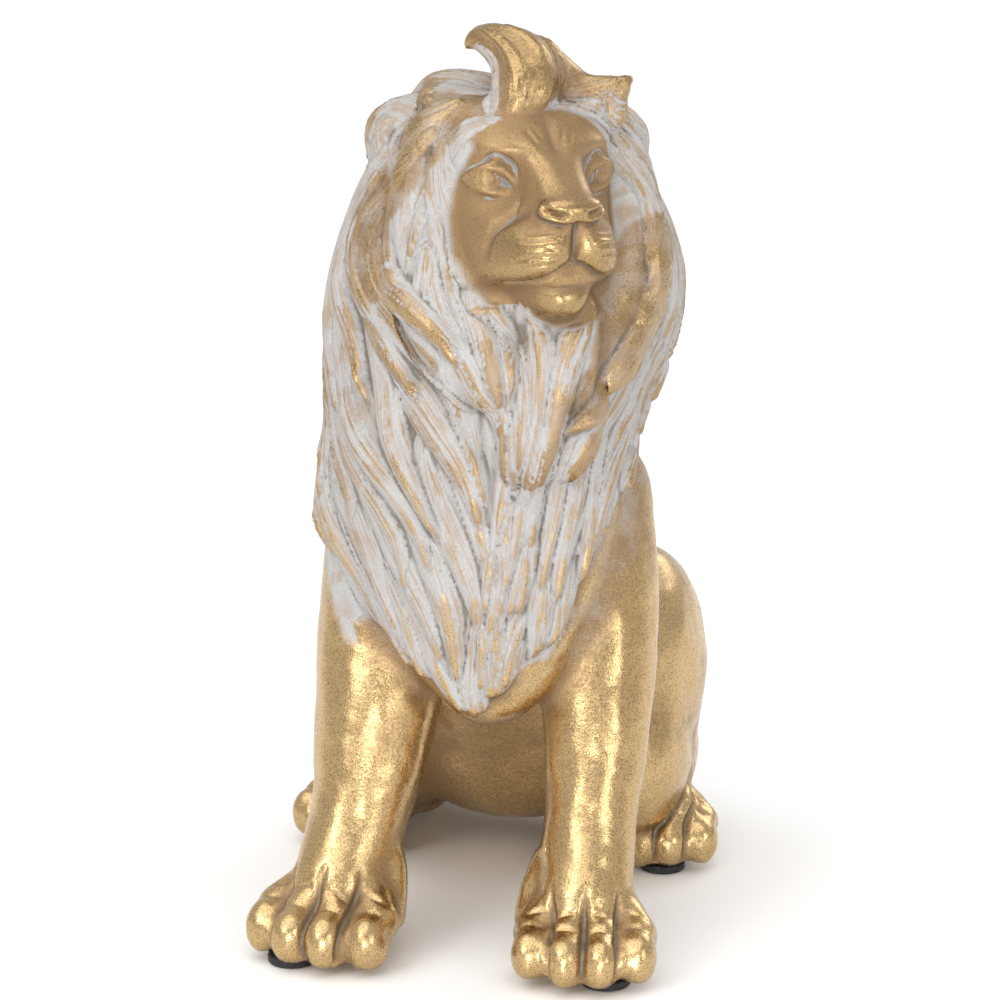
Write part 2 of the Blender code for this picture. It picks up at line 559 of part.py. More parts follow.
def face_relief(co, no, tree):
    for s in (-1, 1):
        # half of the mouth, a nostril and the nose's rim
        groove(co, no, tree, [(0, -17, -18.4), (3.4 * s, -16.6, -19.4), (7.4 * s, -14, -21.8),
                              (11 * s, -10.5, -24.2), (14.4 * s, -6.5, -25.6)], 1.3, 1.3, 0.12)
        groove(co, no, tree, [(2.2 * s, -19.6, -6.4), (4.4 * s, -19, -6.2), (6.6 * s, -17, -5.2),
                              (7.8 * s, -14.6, -4)], 1.5, 1.8)
        groove(co, no, tree, [(0.4 * s, -19, -9.2), (4.5 * s, -18.6, -9), (8 * s, -14.6, -7.4),
                              (9.6 * s, -10.5, -5)], 1.0, 0.9)
        # behind the muzzle and over the eye
        groove(co, no, tree, [(9.2 * s, -11, -5.4), (12 * s, -7, -7.4), (14 * s, -3, -12),
                              (14.6 * s, -2, -18)], 2.2, 1.1)
        groove(co, no, tree, [(8 * s, -2.8, 2.6), (10.6 * s, -1.6, 5.3), (13.6 * s, -1, 6),
                              (17 * s, 1.6, 4.4), (19 * s, 6, 1.6)], 1.0, 0.7)
        dish(co, (26 * s, 26, 7), (-0.35 * s, 1, -0.1), 5.4, 3.6)
    # lip cleft, forehead cleft and the crease over the chin
    groove(co, no, tree, [(0, -19.6, -8.2), (0, -17, -18.4)], 1.3, 1.3, 0.1)
    groove(co, no, tree, [(0, 0.5, 15), (0, -2, 10), (0, -5, 5)], 2.4, 0.5)
    groove(co, no, tree, [(-6.5, -12.5, -24), (0, -15.6, -23.6), (6.5, -12.5, -24)], 1.4, 0.6)


def toe_relief(co, no, tree):
    """The cleft between each pair of toes, from the hand over the knuckles to the sole."""
    for wrist, middle, width, toe in PAWS:
        ahead, found = toes(wrist, middle, width, toe)
        for one, other in zip(found, found[1:]):
            root, knuckle, tip = [(a + b) / 2 for a, b in zip(one, other)]
            points = [root.lerp(knuckle, 0.6) + Vector((0, 0, 8)), knuckle + Vector((0, 0, 6)),
                      tip + ahead * 1.5 + Vector((0, 0, 6)), tip + ahead * 5,
                      tip + ahead * 4 + Vector((0, 0, -5))]
            groove(co, no, tree, points, 1.5, 1.4, 0.3, BODY)


def vertex_array(mesh):
    co = np.zeros(len(mesh.vertices) * 3)
    mesh.vertices.foreach_get("co", co)
    return co.reshape(-1, 3)


def normal_array(mesh):
    no = np.zeros(len(mesh.vertices) * 3)
    mesh.vertex_normals.foreach_get("vector", no)
    return no.reshape(-1, 3)


def carve(mesh):
    co = vertex_array(mesh)
    no = normal_array(mesh)
    tree = BVHTree.FromPolygons([v.co for v in mesh.vertices], [p.vertices for p in mesh.polygons])
    co = co + no * evened(mane_relief(co, no, tree), mesh, 1)[:, None]
    face_relief(co, no, tree)
    toe_relief(co, no, tree)
    mesh.vertices.foreach_set("co", co.ravel())
    mesh.update()


def flatten_soles(mesh, snap):
    """Everything below the sole plane is pressed onto it."""
    co = vertex_array(mesh)
    low = co[:, 2] < SOLE + snap
    co[low, 2] = SOLE
    mesh.vertices.foreach_set("co", co.ravel())
    mesh.update()


def lion_mesh():
    mesh = rough(VOXEL)
    carve(mesh)
    mesh = shaped(mesh, [("REMESH", {"mode": "VOXEL", "voxel_size": VOXEL})])
    flatten_soles(mesh, 0)
    count = sum(len(p.vertices) - 2 for p in mesh.polygons)
    mesh = shaped(mesh, [("TRIANGULATE", {}), ("DECIMATE", {"ratio": LION_TRIANGLES / count})])
    flatten_soles(mesh, 0.06)
    return mesh


def material(name, colour, roughness, metallic):
    made = bpy.data.materials.new(name)
    made.use_nodes = True
    shader = made.node_tree.nodes["Principled BSDF"]
    shader.inputs["Base Color"].default_value = (*colour, 1)
    shader.inputs["Roughness"].default_value = roughness
    shader.inputs["Metallic"].default_value = metallic
    return made


def place(name, mesh, look, collection):
    mesh.name = name
    mesh.materials.clear()
    mesh.materials.append(look)
    obj = bpy.data.objects.new(name, mesh)
    collection.objects.link(obj)
    return obj


def pad_mesh():
    """A disc with softened edges, its underside at z = 0."""
    disc = bmesh.new()
    bmesh.ops.create_cone(disc, cap_ends=True, segments=24, radius1=PAD_DIAMETER / 2,
                          radius2=PAD_DIAMETER / 2, depth=PAD_THICKNESS)
    bmesh.ops.translate(disc, verts=disc.verts, vec=(0, 0, PAD_THICKNESS / 2))
    rims = [e for e in disc.edges if abs(e.verts[0].co.z - e.verts[1].co.z) < PAD_THICKNESS / 4]
    bmesh.ops.bevel(disc, geom=rims, offset=PAD_EDGE, segments=1, affect="EDGES")
    mesh = bpy.data.meshes.new("pad")
    disc.to_mesh(mesh)
    disc.free()
    return mesh


def build():
    for obj in list(bpy.data.objects):
        bpy.data.objects.remove(obj)
    figure = bpy.data.collections.new("lion_figurine")
    bpy.context.scene.collection.children.link(figure)

    mesh = lion_mesh()
    co = vertex_array(mesh)
    underside = PAD_THICKNESS + PAD_GAP
    unit = (HEIGHT - underside) / (co[:, 2].max() - SOLE)
    middle = (co[:, :2].min(0) + co[:, :2].max(0)) / 2
    co[:, :2] = (co[:, :2] - middle) * unit
    co[:, 2] = (co[:, 2] - SOLE) * unit + underside
    mesh.vertices.foreach_set("co", co.ravel())
    mesh.update()
    mesh.shade_smooth()
    place("lion", mesh, material("gold_leaf", (0.55, 0.38, 0.16), 0.35, 0.9), figure)

    rubber = material("black_rubber", (0.02, 0.02, 0.02), 0.7, 0.0)
    for name, (x, y) in PAD_PLACES.items():
        pad = place(name, pad_mesh(), rubber, figure)
        pad.location = ((x - middle[0]) * unit, (y - middle[1]) * unit, 0)


build()
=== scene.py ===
"""Looks of the lion figurine: the gilded, white-washed casting and its rubber pads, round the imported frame.

The casting repeats the form of the CAD solid from the same named places, in modelling units of about a
millimetre, at a finer mesh. It adds strands of hair, iris and pupil, tear lines, whisker rows, folds of
the forehead, wrinkles over the toes and a slight ripple of the surface. It is then scaled into the frame
so that its paws stand on the frame's own pads.
"""
import json
import math

import bmesh
import bpy
import numpy as np
from mathutils import Euler, Matrix, Vector
from mathutils.bvhtree import BVHTree
from mathutils.kdtree import KDTree

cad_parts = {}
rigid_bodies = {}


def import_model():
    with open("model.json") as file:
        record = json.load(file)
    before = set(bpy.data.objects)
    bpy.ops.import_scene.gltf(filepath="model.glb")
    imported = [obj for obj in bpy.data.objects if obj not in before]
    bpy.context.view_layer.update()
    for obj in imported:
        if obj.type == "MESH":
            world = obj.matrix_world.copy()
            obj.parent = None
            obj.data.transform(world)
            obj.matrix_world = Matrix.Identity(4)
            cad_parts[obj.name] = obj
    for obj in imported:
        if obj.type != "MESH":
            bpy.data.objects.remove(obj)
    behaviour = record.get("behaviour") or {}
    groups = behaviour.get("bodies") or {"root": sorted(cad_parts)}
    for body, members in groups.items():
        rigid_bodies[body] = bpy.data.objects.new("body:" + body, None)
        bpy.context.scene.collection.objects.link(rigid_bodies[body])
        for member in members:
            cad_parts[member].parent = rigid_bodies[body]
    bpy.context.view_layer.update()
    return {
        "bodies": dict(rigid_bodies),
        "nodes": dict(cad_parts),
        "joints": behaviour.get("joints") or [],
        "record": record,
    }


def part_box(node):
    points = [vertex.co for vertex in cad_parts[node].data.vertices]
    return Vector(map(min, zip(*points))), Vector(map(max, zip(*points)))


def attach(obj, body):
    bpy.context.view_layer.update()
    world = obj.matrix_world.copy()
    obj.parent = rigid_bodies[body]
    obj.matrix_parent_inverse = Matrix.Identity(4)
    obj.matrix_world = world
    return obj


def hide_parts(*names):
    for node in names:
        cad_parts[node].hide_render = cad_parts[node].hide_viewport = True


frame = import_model()

# Fineness of the casting's surface in modelling units, and its share of triangles
VOXEL = 0.62
CAST_TRIANGLES = 194000

# Mane relief, as in the solid
LOCK_SPACING = 0.6
LOCK_HALF_WIDTH = 5.8
LOCK_HEIGHT = 2.8

# The sole plane that every paw is cut flat at, in modelling units
SOLE = 2.3

# Pad centres under the paws, in modelling units
PAD_PLACES = {
    "pad_front_left": (36.0, -54.0),
    "pad_front_right": (-42.0, -52.5),
    "pad_hind_left": (39.0, 31.0),
    "pad_hind_right": (-49.0, 33.0),
}

# The head is turned to the lion's left. Its own axes run left, back and up from between the eyes
HEAD_TURN = 32.0
EYES = Vector((19.0, -43.0, 193.0))
HEAD = Matrix.Translation(EYES) @ Matrix.Rotation(math.radians(HEAD_TURN), 4, "Z")
BODY = Matrix.Identity(4)

# Left eyeball in the head's axes, and its radius; the right one mirrors it
EYE = (12.9, 4.7, 0.6)
EYEBALL = 5.6

# Depth of the face behind the point between the eyes, at each distance across it; each row starts with
# its height
FACE_ACROSS = (0, 3, 6, 9, 12, 15, 18, 21)
FACE_DEPTHS = (
    (18, 9.0, 9.0, 9.5, 10.5, 12.0, 14.0, 17.0, 22),
    (15, 2.6, 2.6, 3.0, 4.2, 6.0, 8.6, 12.4, 18),
    (11, -1.4, -2.0, -1.6, -0.6, 1.0, 4.0, 8.6, 15),
    (8, -3.8, -4.8, -4.8, -3.4, -2.0, 0.8, 6.0, 13.5),
    (5, -7.6, -7.8, -6.2, -2.6, -0.8, 1.4, 5.4, 13),
    (2, -11.2, -11.0, -8.2, -1.2, 0.9, 2.4, 5.4, 13),
    (-1, -15.0, -14.6, -11.4, -2.4, 0.9, 2.6, 5.4, 13),
    (-4, -18.2, -17.6, -14.8, -5.8, -0.6, 2.0, 5.2, 13),
    (-7, -18.6, -18.0, -15.6, -9.6, -3.4, 0.8, 5.0, 13.5),
    (-10, -17.2, -17.8, -17.0, -13.8, -8.6, -2.2, 5.0, 14.5),
    (-13, -16.6, -18.6, -18.8, -16.8, -12.6, -4.8, 4.4, 14.5),
    (-16, -16.2, -18.2, -18.6, -17.2, -13.8, -6.6, 4.0, 14.5),
    (-18, -15.0, -16.8, -17.8, -16.8, -13.8, -7.0, 4.0, 14.5),
    (-20, -14.6, -15.4, -16.0, -15.2, -12.8, -6.8, 4.2, 15),
    (-22, -15.6, -15.0, -13.8, -12.2, -9.6, -4.8, 4.8, 15.5),
    (-24, -14.8, -14.4, -12.0, -6.8, -4.2, -0.8, 7.0, 17.5),
    (-27, -15.4, -14.8, -11.0, -3.0, 1.0, 4.8, 11.0, 20),
    (-30, -13.4, -12.4, -7.6, 0.0, 4.4, 9.4, 15.5, 23),
    (-33, -6.0, -5.0, -1.0, 5.0, 10.0, 15.0, 20.0, 25),
)

# Rows and columns laid between the given depths; the flat back of the face's block and its share of width
FACE_ROWS = 6
FACE_COLUMNS = 5
FACE_BACK = 28
FACE_BACK_SHARE = 0.9

# Outline of the face: half width, half height, height of its middle, power of its curve, and the start
# and width of its edge's fade
FACE_HALF_WIDTH = 21
FACE_HALF_HEIGHT = 26.5
FACE_MIDDLE = -9
FACE_CURVE = 2.4
FACE_FADE = (0.9, 0.1)

# How far back the cheeks reach and fade, and the chin's underside, past which the throat starts sooner
CHEEK_END = 12
CHEEK_FADE = 4
CHIN_FOOT = -28
THROAT_LEAD = 20

# Leather of the nose: its middle and its half sizes
NOSE = (0, -15, -5.6)
NOSE_SIZE = (8.4, 4.8, 3.9)

# Each paw's wrist, the middle of its toes, its width and the thickness of a toe
PAWS = (
    ((-31, -38, 17), (-36.5, -58.5, 7.6), 39, 5.5),
    ((29.5, -40, 17), (31.5, -62, 7.6), 36, 5.1),
    ((36, 44, 15), (37.5, 26.5, 7.6), 34, 5.0),
    ((-43, 44, 15), (-49, 28.5, 7.6), 34, 5.0),
)

# Toes on a paw, how far back the outer ones stand, how far a knuckle lies behind and above its tip, and
# how far the outer toes' roots are from the wrist
TOES = 4
TOE_FAN = 4.5
KNUCKLE_BACK = 6
KNUCKLE_RISE = 4.6
ROOT_SPREAD = 6


class Clay:
    """Balls and limbs gathered for one fusing."""

    def __init__(self):
        self.balls = []
        self.limbs = []
        self.solids = []

    def ball(self, centre, radii, turn=(0, 0, 0), frame=BODY):
        tilt = Euler([math.radians(a) for a in turn]).to_matrix().to_4x4()
        self.balls.append(frame @ Matrix.Translation(centre) @ tilt @ Matrix.Diagonal((*radii, 1)))

    def limb(self, points, frame=BODY):
        """A round limb through (x, y, z, radius) points, with round ends."""
        self.limbs.append([(*(frame @ Vector(p[:3])), p[3]) for p in points])
        for x, y, z, r in (points[0], points[-1]):
            self.ball((x, y, z), (r, r, r), frame=frame)

    def chain(self, stations, frame=BODY, per=3):
        """Balls that swell from one (x, y, z, rx, ry, rz) station to the next."""
        for row in smooth_rows(stations, per * (len(stations) - 1) + 1):
            self.ball(row[:3], row[3:6], frame=frame)

    def limb_mesh(self):
        curve = bpy.data.curves.new("limbs", "CURVE")
        curve.dimensions = "3D"
        curve.bevel_depth = 1.0
        curve.bevel_resolution = 4
        curve.use_fill_caps = True
        curve.resolution_u = 5
        for points in self.limbs:
            spline = curve.splines.new("NURBS")
            spline.points.add(len(points) - 1)
            for slot, (x, y, z, r) in zip(spline.points, points):
                slot.co = (x, y, z, 1)
                slot.radius = r
            spline.order_u = min(4, len(points))
            spline.use_endpoint_u = True
        obj = placed("limbs", curve)
        mesh = evaluated(obj)
        bpy.data.objects.remove(obj)
        bpy.data.curves.remove(curve)
        welded = bmesh.new()
        welded.from_mesh(mesh)
        bmesh.ops.remove_doubles(welded, verts=welded.verts, dist=0.0001)
        welded.to_mesh(mesh)
        welded.free()
        return mesh

    def mesh(self, base):
        seed = bmesh.new()
        bmesh.ops.create_uvsphere(seed, u_segments=28, v_segments=18, radius=1)
        unit = bpy.data.meshes.new("unit")
        seed.to_mesh(unit)
        seed.free()
        clay = bmesh.new()
        for place in self.balls:
            placed = unit.copy()
            placed.transform(place)
            clay.from_mesh(placed)
            bpy.data.meshes.remove(placed)
        for solid in self.solids:
            clay.from_mesh(solid)
        if self.limbs:
            clay.from_mesh(self.limb_mesh())
        if base is not None:
            clay.from_mesh(base)
        made = bpy.data.meshes.new("clay")
        clay.to_mesh(made)
        clay.free()
        return made


def smooth_rows(rows, count):
    """count rows on a smooth curve through the given rows."""
    rows = np.array(rows, float)
    ends = np.vstack([2 * rows[0] - rows[1], rows, 2 * rows[-1] - rows[-2]])
    at = np.linspace(0, len(rows) - 1, count)
    i = np.minimum(at.astype(int), len(rows) - 2)
    t = (at - i)[:, None]
    a, b, c, d = ends[i], ends[i + 1], ends[i + 2], ends[i + 3]
    bend = (2 * a - 5 * b + 4 * c - d) * t ** 2
    return 0.5 * (2 * b + (c - a) * t + bend + (3 * b - a - 3 * c + d) * t ** 3)


def placed(name, data):
    """A new object in the scene."""
    obj = bpy.data.objects.new(name, data)
    bpy.context.scene.collection.objects.link(obj)
    return obj


def evaluated(obj):
    return bpy.data.meshes.new_from_object(obj.evaluated_get(bpy.context.evaluated_depsgraph_get()))


def shaped(mesh, steps):
    """The mesh after the given modifiers, each a (type, settings) pair."""
    obj = placed("clay", mesh)
    for kind, settings in steps:
        modifier = obj.modifiers.new(kind.lower(), kind)
        for name, value in settings.items():
            setattr(modifier, name, value)
    made = evaluated(obj)
    bpy.data.objects.remove(obj)
    return made


def fuse(clay, base, voxel, rounds):
    """The clay and the base as one skin, smoothed by the given rounds."""
    return shaped(clay.mesh(base), [("REMESH", {"mode": "VOXEL", "voxel_size": voxel}),
                                    ("SMOOTH", {"factor": 0.5, "iterations": rounds})])


def masses(clay):
    """Trunk, seat, haunches, shoulders and the mane's mass."""
    clay.chain([(0, -2, 118, 33, 33, 34), (-1, 12, 100, 33, 35, 37), (-2, 27, 80, 34, 35, 38),
                (-3, 41, 60, 36, 35, 38), (-4, 51, 42, 38, 35, 36)])
    clay.chain([(2, -14, 108, 30, 27, 30), (2, -20, 84, 27, 20, 24)])
    clay.chain([(-4, 66, 18, 36, 19, 14), (-5, 52, 22, 30, 14, 12)])
    for side, x in ((1, 28.5), (-1, -35)):
        clay.ball((x, 43, 50), (19.5, 33, 36), (-20, 0, -8 * side))
        clay.ball((x + 3 * side, 28, 32), (15, 22, 22), (-20, 0, -8 * side))
        clay.ball((x + 2 * side, 54, 24), (15, 28, 18), (0, 0, -6 * side))
    clay.ball((-23, -6, 99), (20, 26, 41), (10, 0, 0))
    clay.ball((19, -6, 100), (19, 26, 42), (10, 0, 0))
    clay.chain([(4, -9, 196, 26, 24, 16), (3.5, -9, 183, 34.5, 31, 24), (3, -5, 166, 41, 35, 27),
                (0.5, -2, 148, 40.5, 37, 27), (-3, 0, 130, 37.5, 37, 26)])
    clay.chain([(3, -20, 146, 34, 27, 24), (1, -20, 128, 34.5, 28, 26), (2.5, -24.5, 110, 31.5, 23.5, 24),
                (3, -28, 94, 28, 20.5, 22), (3, -31.5, 79, 22, 15, 17), (4.5, -35.5, 67, 13, 10, 10)])


def forelegs(clay):
    clay.limb([(-24, -4, 108, 18), (-26, -10, 84, 18), (-26.5, -19, 62, 17), (-27.5, -27, 44, 14.6),
               (-29.5, -34, 28, 12), (-33, -42, 16, 12)])
    clay.limb([(22, -4, 108, 18), (26, -10, 84, 17.5), (29, -21, 62, 14.5), (29.5, -29, 46, 12.5),
               (29, -35, 30, 11.4), (29.5, -44, 16, 12)])


def tail(clay):
    """From the rump round the right haunch, ending in a tuft."""
    clay.limb([(-6, 80, 26, 7), (-14, 86, 12, 7), (-34, 82, 8.6, 6), (-48, 70, 8.6, 5.6),
               (-54, 58, 8.6, 6.2), (-57, 48, 8.2, 3)])


def toes(wrist, middle, width, toe):
    """The way a paw points, and the root, knuckle and tip of its four toes."""
    wrist, middle = Vector(wrist), Vector(middle)
    ahead = middle - wrist
    ahead.z = 0
    ahead.normalize()
    across = Vector((-ahead.y, ahead.x, 0))
    found = []
    half = (TOES - 1) / 2
    for i in range(TOES):
        u = (i - half) / half
        tip = middle + across * (width / 2 - toe) * u - ahead * (u * u * TOE_FAN)
        knuckle = tip - ahead * KNUCKLE_BACK + Vector((0, 0, KNUCKLE_RISE - u * u))
        found.append((wrist + across * ROOT_SPREAD * u + Vector((0, 0, 1)), knuckle, tip))
    return ahead, found


def paw(clay, wrist, middle, width, toe):
    """Toes with a claw's swelling on each, and the hand behind them."""
    ahead, found = toes(wrist, middle, width, toe)
    spin = math.degrees(math.atan2(ahead.x, -ahead.y))
    for root, knuckle, tip in found:
        bend = root.lerp(knuckle, 0.6) + Vector((0, 0, 1.6))
        clay.limb([(*root, toe * 0.86), (*bend, toe * 0.88), (*knuckle, toe * 0.92)])
        clay.ball(knuckle, (toe * 0.96, toe * 1.1, toe), (0, 0, spin))
        clay.ball(tip + Vector((0, 0, 0.2)), (toe * 0.96, toe * 1.15, toe * 1.35), (0, 0, spin))
        claw = tip + ahead * (toe * 0.92) + Vector((0, 0, -1.6))
        clay.ball(claw, (toe * 0.3, toe * 0.34, toe * 0.5), (0, 0, spin))
    palm = Vector(wrist).lerp(Vector(middle), 0.45)
    clay.ball((palm.x, palm.y, 8), (width * 0.42, 15, 8), (0, 0, spin))


def paws(clay):
    for sizes in PAWS:
        paw(clay, *sizes)
    # dewclaws
    clay.limb([(-21, -36, 24, 4), (-18.5, -40, 17, 3.8), (-18, -44, 10, 3.4)])
    clay.limb([(19, -37, 24, 4), (15.5, -41, 17, 3.8), (15, -44, 11, 3.4)])
    # hind feet
    clay.limb([(30, 62, 12, 11), (35, 48, 13, 11), (38, 36, 13, 11)])
    clay.limb([(-34, 62, 12, 11), (-40, 48, 13, 11), (-44, 36, 13, 11)])


def face_mask():
    """The face as a smooth skin over its depths, closed behind."""
    heights = np.array([row[0] for row in FACE_DEPTHS], float)
    rows = np.array([row[1:] for row in FACE_DEPTHS], float)
    down = smooth_rows(np.column_stack([heights, rows]), FACE_ROWS * (len(rows) - 1) + 1)
    columns = FACE_COLUMNS * (len(FACE_ACROSS) - 1) + 1
    across = smooth_rows(np.column_stack([FACE_ACROSS, down[:, 1:].T]), columns)
    x, depth = across[:, 0], across[:, 1:]
    x = np.concatenate([-x[:0:-1], x])
    depth = np.concatenate([depth[:0:-1], depth])
    skin = bmesh.new()
    front = [[skin.verts.new(HEAD @ Vector((x[i], depth[i, j], down[j, 0]))) for j in range(len(down))]
             for i in range(len(x))]
    rear = [[skin.verts.new(HEAD @ Vector((x[i] * FACE_BACK_SHARE, FACE_BACK, down[j, 0])))
             for j in range(len(down))] for i in range(len(x))]
    for i in range(len(x) - 1):
        for j in range(len(down) - 1):
            skin.faces.new((front[i][j], front[i][j + 1], front[i + 1][j + 1], front[i + 1][j]))
            skin.faces.new((rear[i][j], rear[i + 1][j], rear[i + 1][j + 1], rear[i][j + 1]))
    for i in range(len(x) - 1):
        skin.faces.new((front[i][0], front[i + 1][0], rear[i + 1][0], rear[i][0]))
        skin.faces.new((front[i][-1], rear[i][-1], rear[i + 1][-1], front[i + 1][-1]))
    for j in range(len(down) - 1):
        skin.faces.new((front[0][j], rear[0][j], rear[0][j + 1], front[0][j + 1]))
        skin.faces.new((front[-1][j], front[-1][j + 1], rear[-1][j + 1], rear[-1][j]))
    bmesh.ops.recalc_face_normals(skin, faces=skin.faces)
    mesh = bpy.data.meshes.new("face")
    skin.to_mesh(mesh)
    skin.free()
    return mesh


def head(clay):
    clay.solids.append(face_mask())
    clay.ball(NOSE, NOSE_SIZE, frame=HEAD)
    for s in (-1, 1):
        clay.ball((EYE[0] * s, EYE[1], EYE[2]), (EYEBALL, EYEBALL, EYEBALL), frame=HEAD)


def crest(clay):
    """Ears, forelock, tuft and the hair swept up behind them."""
    clay.ball((0, 19, -4), (20, 20, 20), frame=HEAD)
    for s in (-1, 1):
        clay.ball((25 * s, 31, 6.5), (6.8, 4.6, 7), (0, 0, 28 * s), frame=HEAD)
        clay.ball((22 * s, 37, 1), (8, 8, 11), frame=HEAD)
    # hair that frames the face
    clay.chain([(-1, -37, 205, 7, 6, 6), (-7, -37, 198, 8, 7, 9), (-10.5, -38, 184, 8, 7, 10),
                (-9, -40, 170, 8.5, 7, 10), (-2, -43, 157, 9, 7.5, 9), (8, -44, 147, 10, 8, 9)])
    clay.chain([(28, -20, 201, 7, 7, 6), (32, -18, 192, 7, 8, 8), (34, -19, 180, 7, 8, 9),
                (34, -24, 166, 8, 8, 9), (28, -34, 152, 8, 8, 9)])
    # throat
    clay.chain([(23, -42, 161, 9, 7, 7), (20, -44, 149, 12, 7, 10), (15, -44, 134, 14, 7, 12)])
    clay.chain([(4, -41, 163, 8, 7, 7), (8, -43, 148, 11, 7, 11)])
    clay.chain([(-9, 6, -27, 8, 8, 7), (0, 3, -32, 9, 8, 6), (9, 6, -27, 8, 8, 7)], frame=HEAD)
    # forelock
    clay.limb([(7.5, -41.5, 202, 2.6), (10, -40, 206, 6), (13.5, -36.5, 212, 8.6), (12.5, -33, 219, 7.8),
               (6, -30, 223, 5.2), (0, -28.5, 225, 3.4), (-2.8, -28, 221.5, 1.3)])
    clay.chain([(15, -29, 219, 5.5, 5, 5), (20, -25, 213.5, 6, 6, 5.5), (22, -23, 209, 7, 7, 6)])
    clay.chain([(-12, -20, 200, 12, 11, 10), (6, -17, 206, 16, 13, 9), (23, -14, 200, 13, 12, 10)])
    # tuft
    clay.chain([(16, -27, 206, 7, 5, 7), (24, -26.5, 207.5, 7, 4, 8), (30, -26, 209, 5, 3, 7),
                (34, -25.5, 212.4, 2.6, 2, 3.4), (37, -25, 215.4, 0.9, 0.9, 0.9)], per=4)


def lids(clay):
    """A rim over and a rim under each eye."""
    upper = ((7.8, -3.2, -2.4, 0.6), (9.6, -1.5, 1.6, 1.0), (12.6, -0.9, 3.9, 1.3), (16.2, 0.5, 3.3, 1.2),
             (19, 5.4, 0.6, 0.6))
    lower = ((7.8, -3.2, -2.4, 0.6), (10, -1.1, -2.5, 0.9), (12.8, -0.6, -3, 1.0), (16.2, 1.0, -2, 0.9),
             (19, 5.4, 0.6, 0.6))
    for s in (-1, 1):
        for rim in (upper, lower):
            clay.limb([(x * s, y, z, r) for x, y, z, r in rim], frame=HEAD)


# Fusings from the masses to the lids: what is laid on, the voxel size and the rounds of smoothing
STAGES = (
    ((masses,), 2.0, 24),
    ((forelegs, tail), 1.6, 10),
    ((paws, crest), 1.2, 4),
    ((head,), 0.9, 2),
    ((lids,), VOXEL, 1),
)


def rough():
    """The whole form before any carving."""
    mesh = None
    for makers, voxel, rounds in STAGES:
        clay = Clay()
        for make in makers:
            make(clay)
        mesh = fuse(clay, mesh, voxel, rounds)
    return mesh


# Points along a flow line, a lock of the breast and any other lock
LINE_POINTS = 25
CHEST_LOCK_POINTS = 12
LOCK_POINTS = 14

# Lines that the mane flows along, round the head from the right cheek over the back to the left cheek
MANE_LINES = np.array([smooth_rows(points, LINE_POINTS) for points in (
    ((-3, -42, 203), (-4, -48, 188), (-1, -50, 172), (6, -46, 157), (12, -49, 144), (14, -50, 128),
     (12, -51, 105), (8, -50, 84)),
    ((-7, -40, 203), (-16, -33, 184), (-14, -38, 166), (0, -47, 148), (9, -51, 130), (11, -50, 108),
     (8, -50, 86), (6, -46, 68)),
    ((-12, -36, 204), (-27, -27, 181), (-27, -31, 160), (-12, -46, 140), (-1, -51, 118), (2, -51, 94),
     (2, -48, 76), (3, -45, 62)),
    ((-16, -28, 203), (-34, -19, 181), (-40, -13, 160), (-34, -25, 138), (-18, -44, 115),
     (-9, -49, 92), (-5, -47, 75), (-1, -44, 64)),
    ((-18, -20, 203), (-37, -8, 182), (-43, -2, 160), (-42, -6, 140), (-34, -24, 120),
     (-27, -35, 99), (-17, -42, 80), (-8, -43, 68)),
    ((-16, -12, 206), (-36, 4, 184), (-43, 10, 161), (-43, 6, 142), (-41, -5, 125), (-37, -18, 108),
     (-31, -29, 92), (-22, -36, 78)),
    ((-10, -6, 209), (-28, 16, 186), (-36, 26, 162), (-39, 24, 142), (-41, 15, 129), (-41, 4, 120)),
    ((-4, -2, 210), (-14, 22, 188), (-18, 34, 162), (-19, 37, 138), (-20, 38, 118), (-22, 36, 102)),
    ((4, -1, 211), (2, 24, 188), (1, 36, 162), (0, 38, 138), (-1, 40, 118), (-1, 44, 102)),
    ((10, -2, 210), (18, 20, 188), (20, 33, 162), (19, 36, 138), (18, 38, 118), (18, 36, 102)),
    ((15, -4, 209), (30, 12, 187), (37, 22, 163), (37, 23, 143), (37, 16, 131), (37, 6, 124)),
    ((20, -8, 208), (37, 2, 184), (44, 6, 163), (42, 4, 146), (38, -4, 134), (35, -14, 124)),
    ((24, -14, 206), (40, -8, 182), (45, -8, 162), (40, -15, 145), (35, -26, 129), (30, -35, 112),
     (26, -38, 98)),
    ((28, -20, 203), (39, -14, 184), (42, -16, 165), (37, -26, 147), (31, -40, 128), (26, -44, 106),
     (22, -42, 87), (16, -42, 74)),
    ((31, -24, 200), (37, -18, 186), (38, -24, 169), (33, -35, 150), (25, -46, 136), (21, -49, 112),
     (16, -48, 88), (11, -45, 70)),
)])
CHEST_LINES = np.array([smooth_rows(points, LINE_POINTS) for points in (
    ((3, -46, 166), (9, -47, 150), (12, -50, 130), (8, -51, 106), (5, -49, 84), (4, -46, 68)),
    ((14, -44, 166), (16, -48, 150), (16, -50, 128), (12, -51, 104), (9, -49, 84), (7, -46, 68)),
    ((28, -42, 166), (24, -47, 150), (20, -49, 128), (17, -51, 104), (13, -49, 84), (9, -45, 68)),
)])

# Tiers of locks from the lowest up: the shares of the lines that they start and end at. Those of the
# breast also have their lift, and start from these fractional line numbers
CHEST_TIERS = ((0.66, 1.0, 0.1), (0.48, 0.84, 0.6), (0.3, 0.68, 1.0), (0.1, 0.5, 1.4))
CHEST_STARTS = (-0.1, 0.4, 0.8, 1.2, 1.6, 2.1)
MANE_TIERS = ((0.62, 1.02), (0.44, 0.88), (0.24, 0.70), (0.02, 0.52))

# Shift of every other tier, the lift that each tier adds, and the lift of the heavy locks
TIER_SHIFT = 0.25
TIER_LIFT = 0.5
HEAVY_LIFT = 1.2

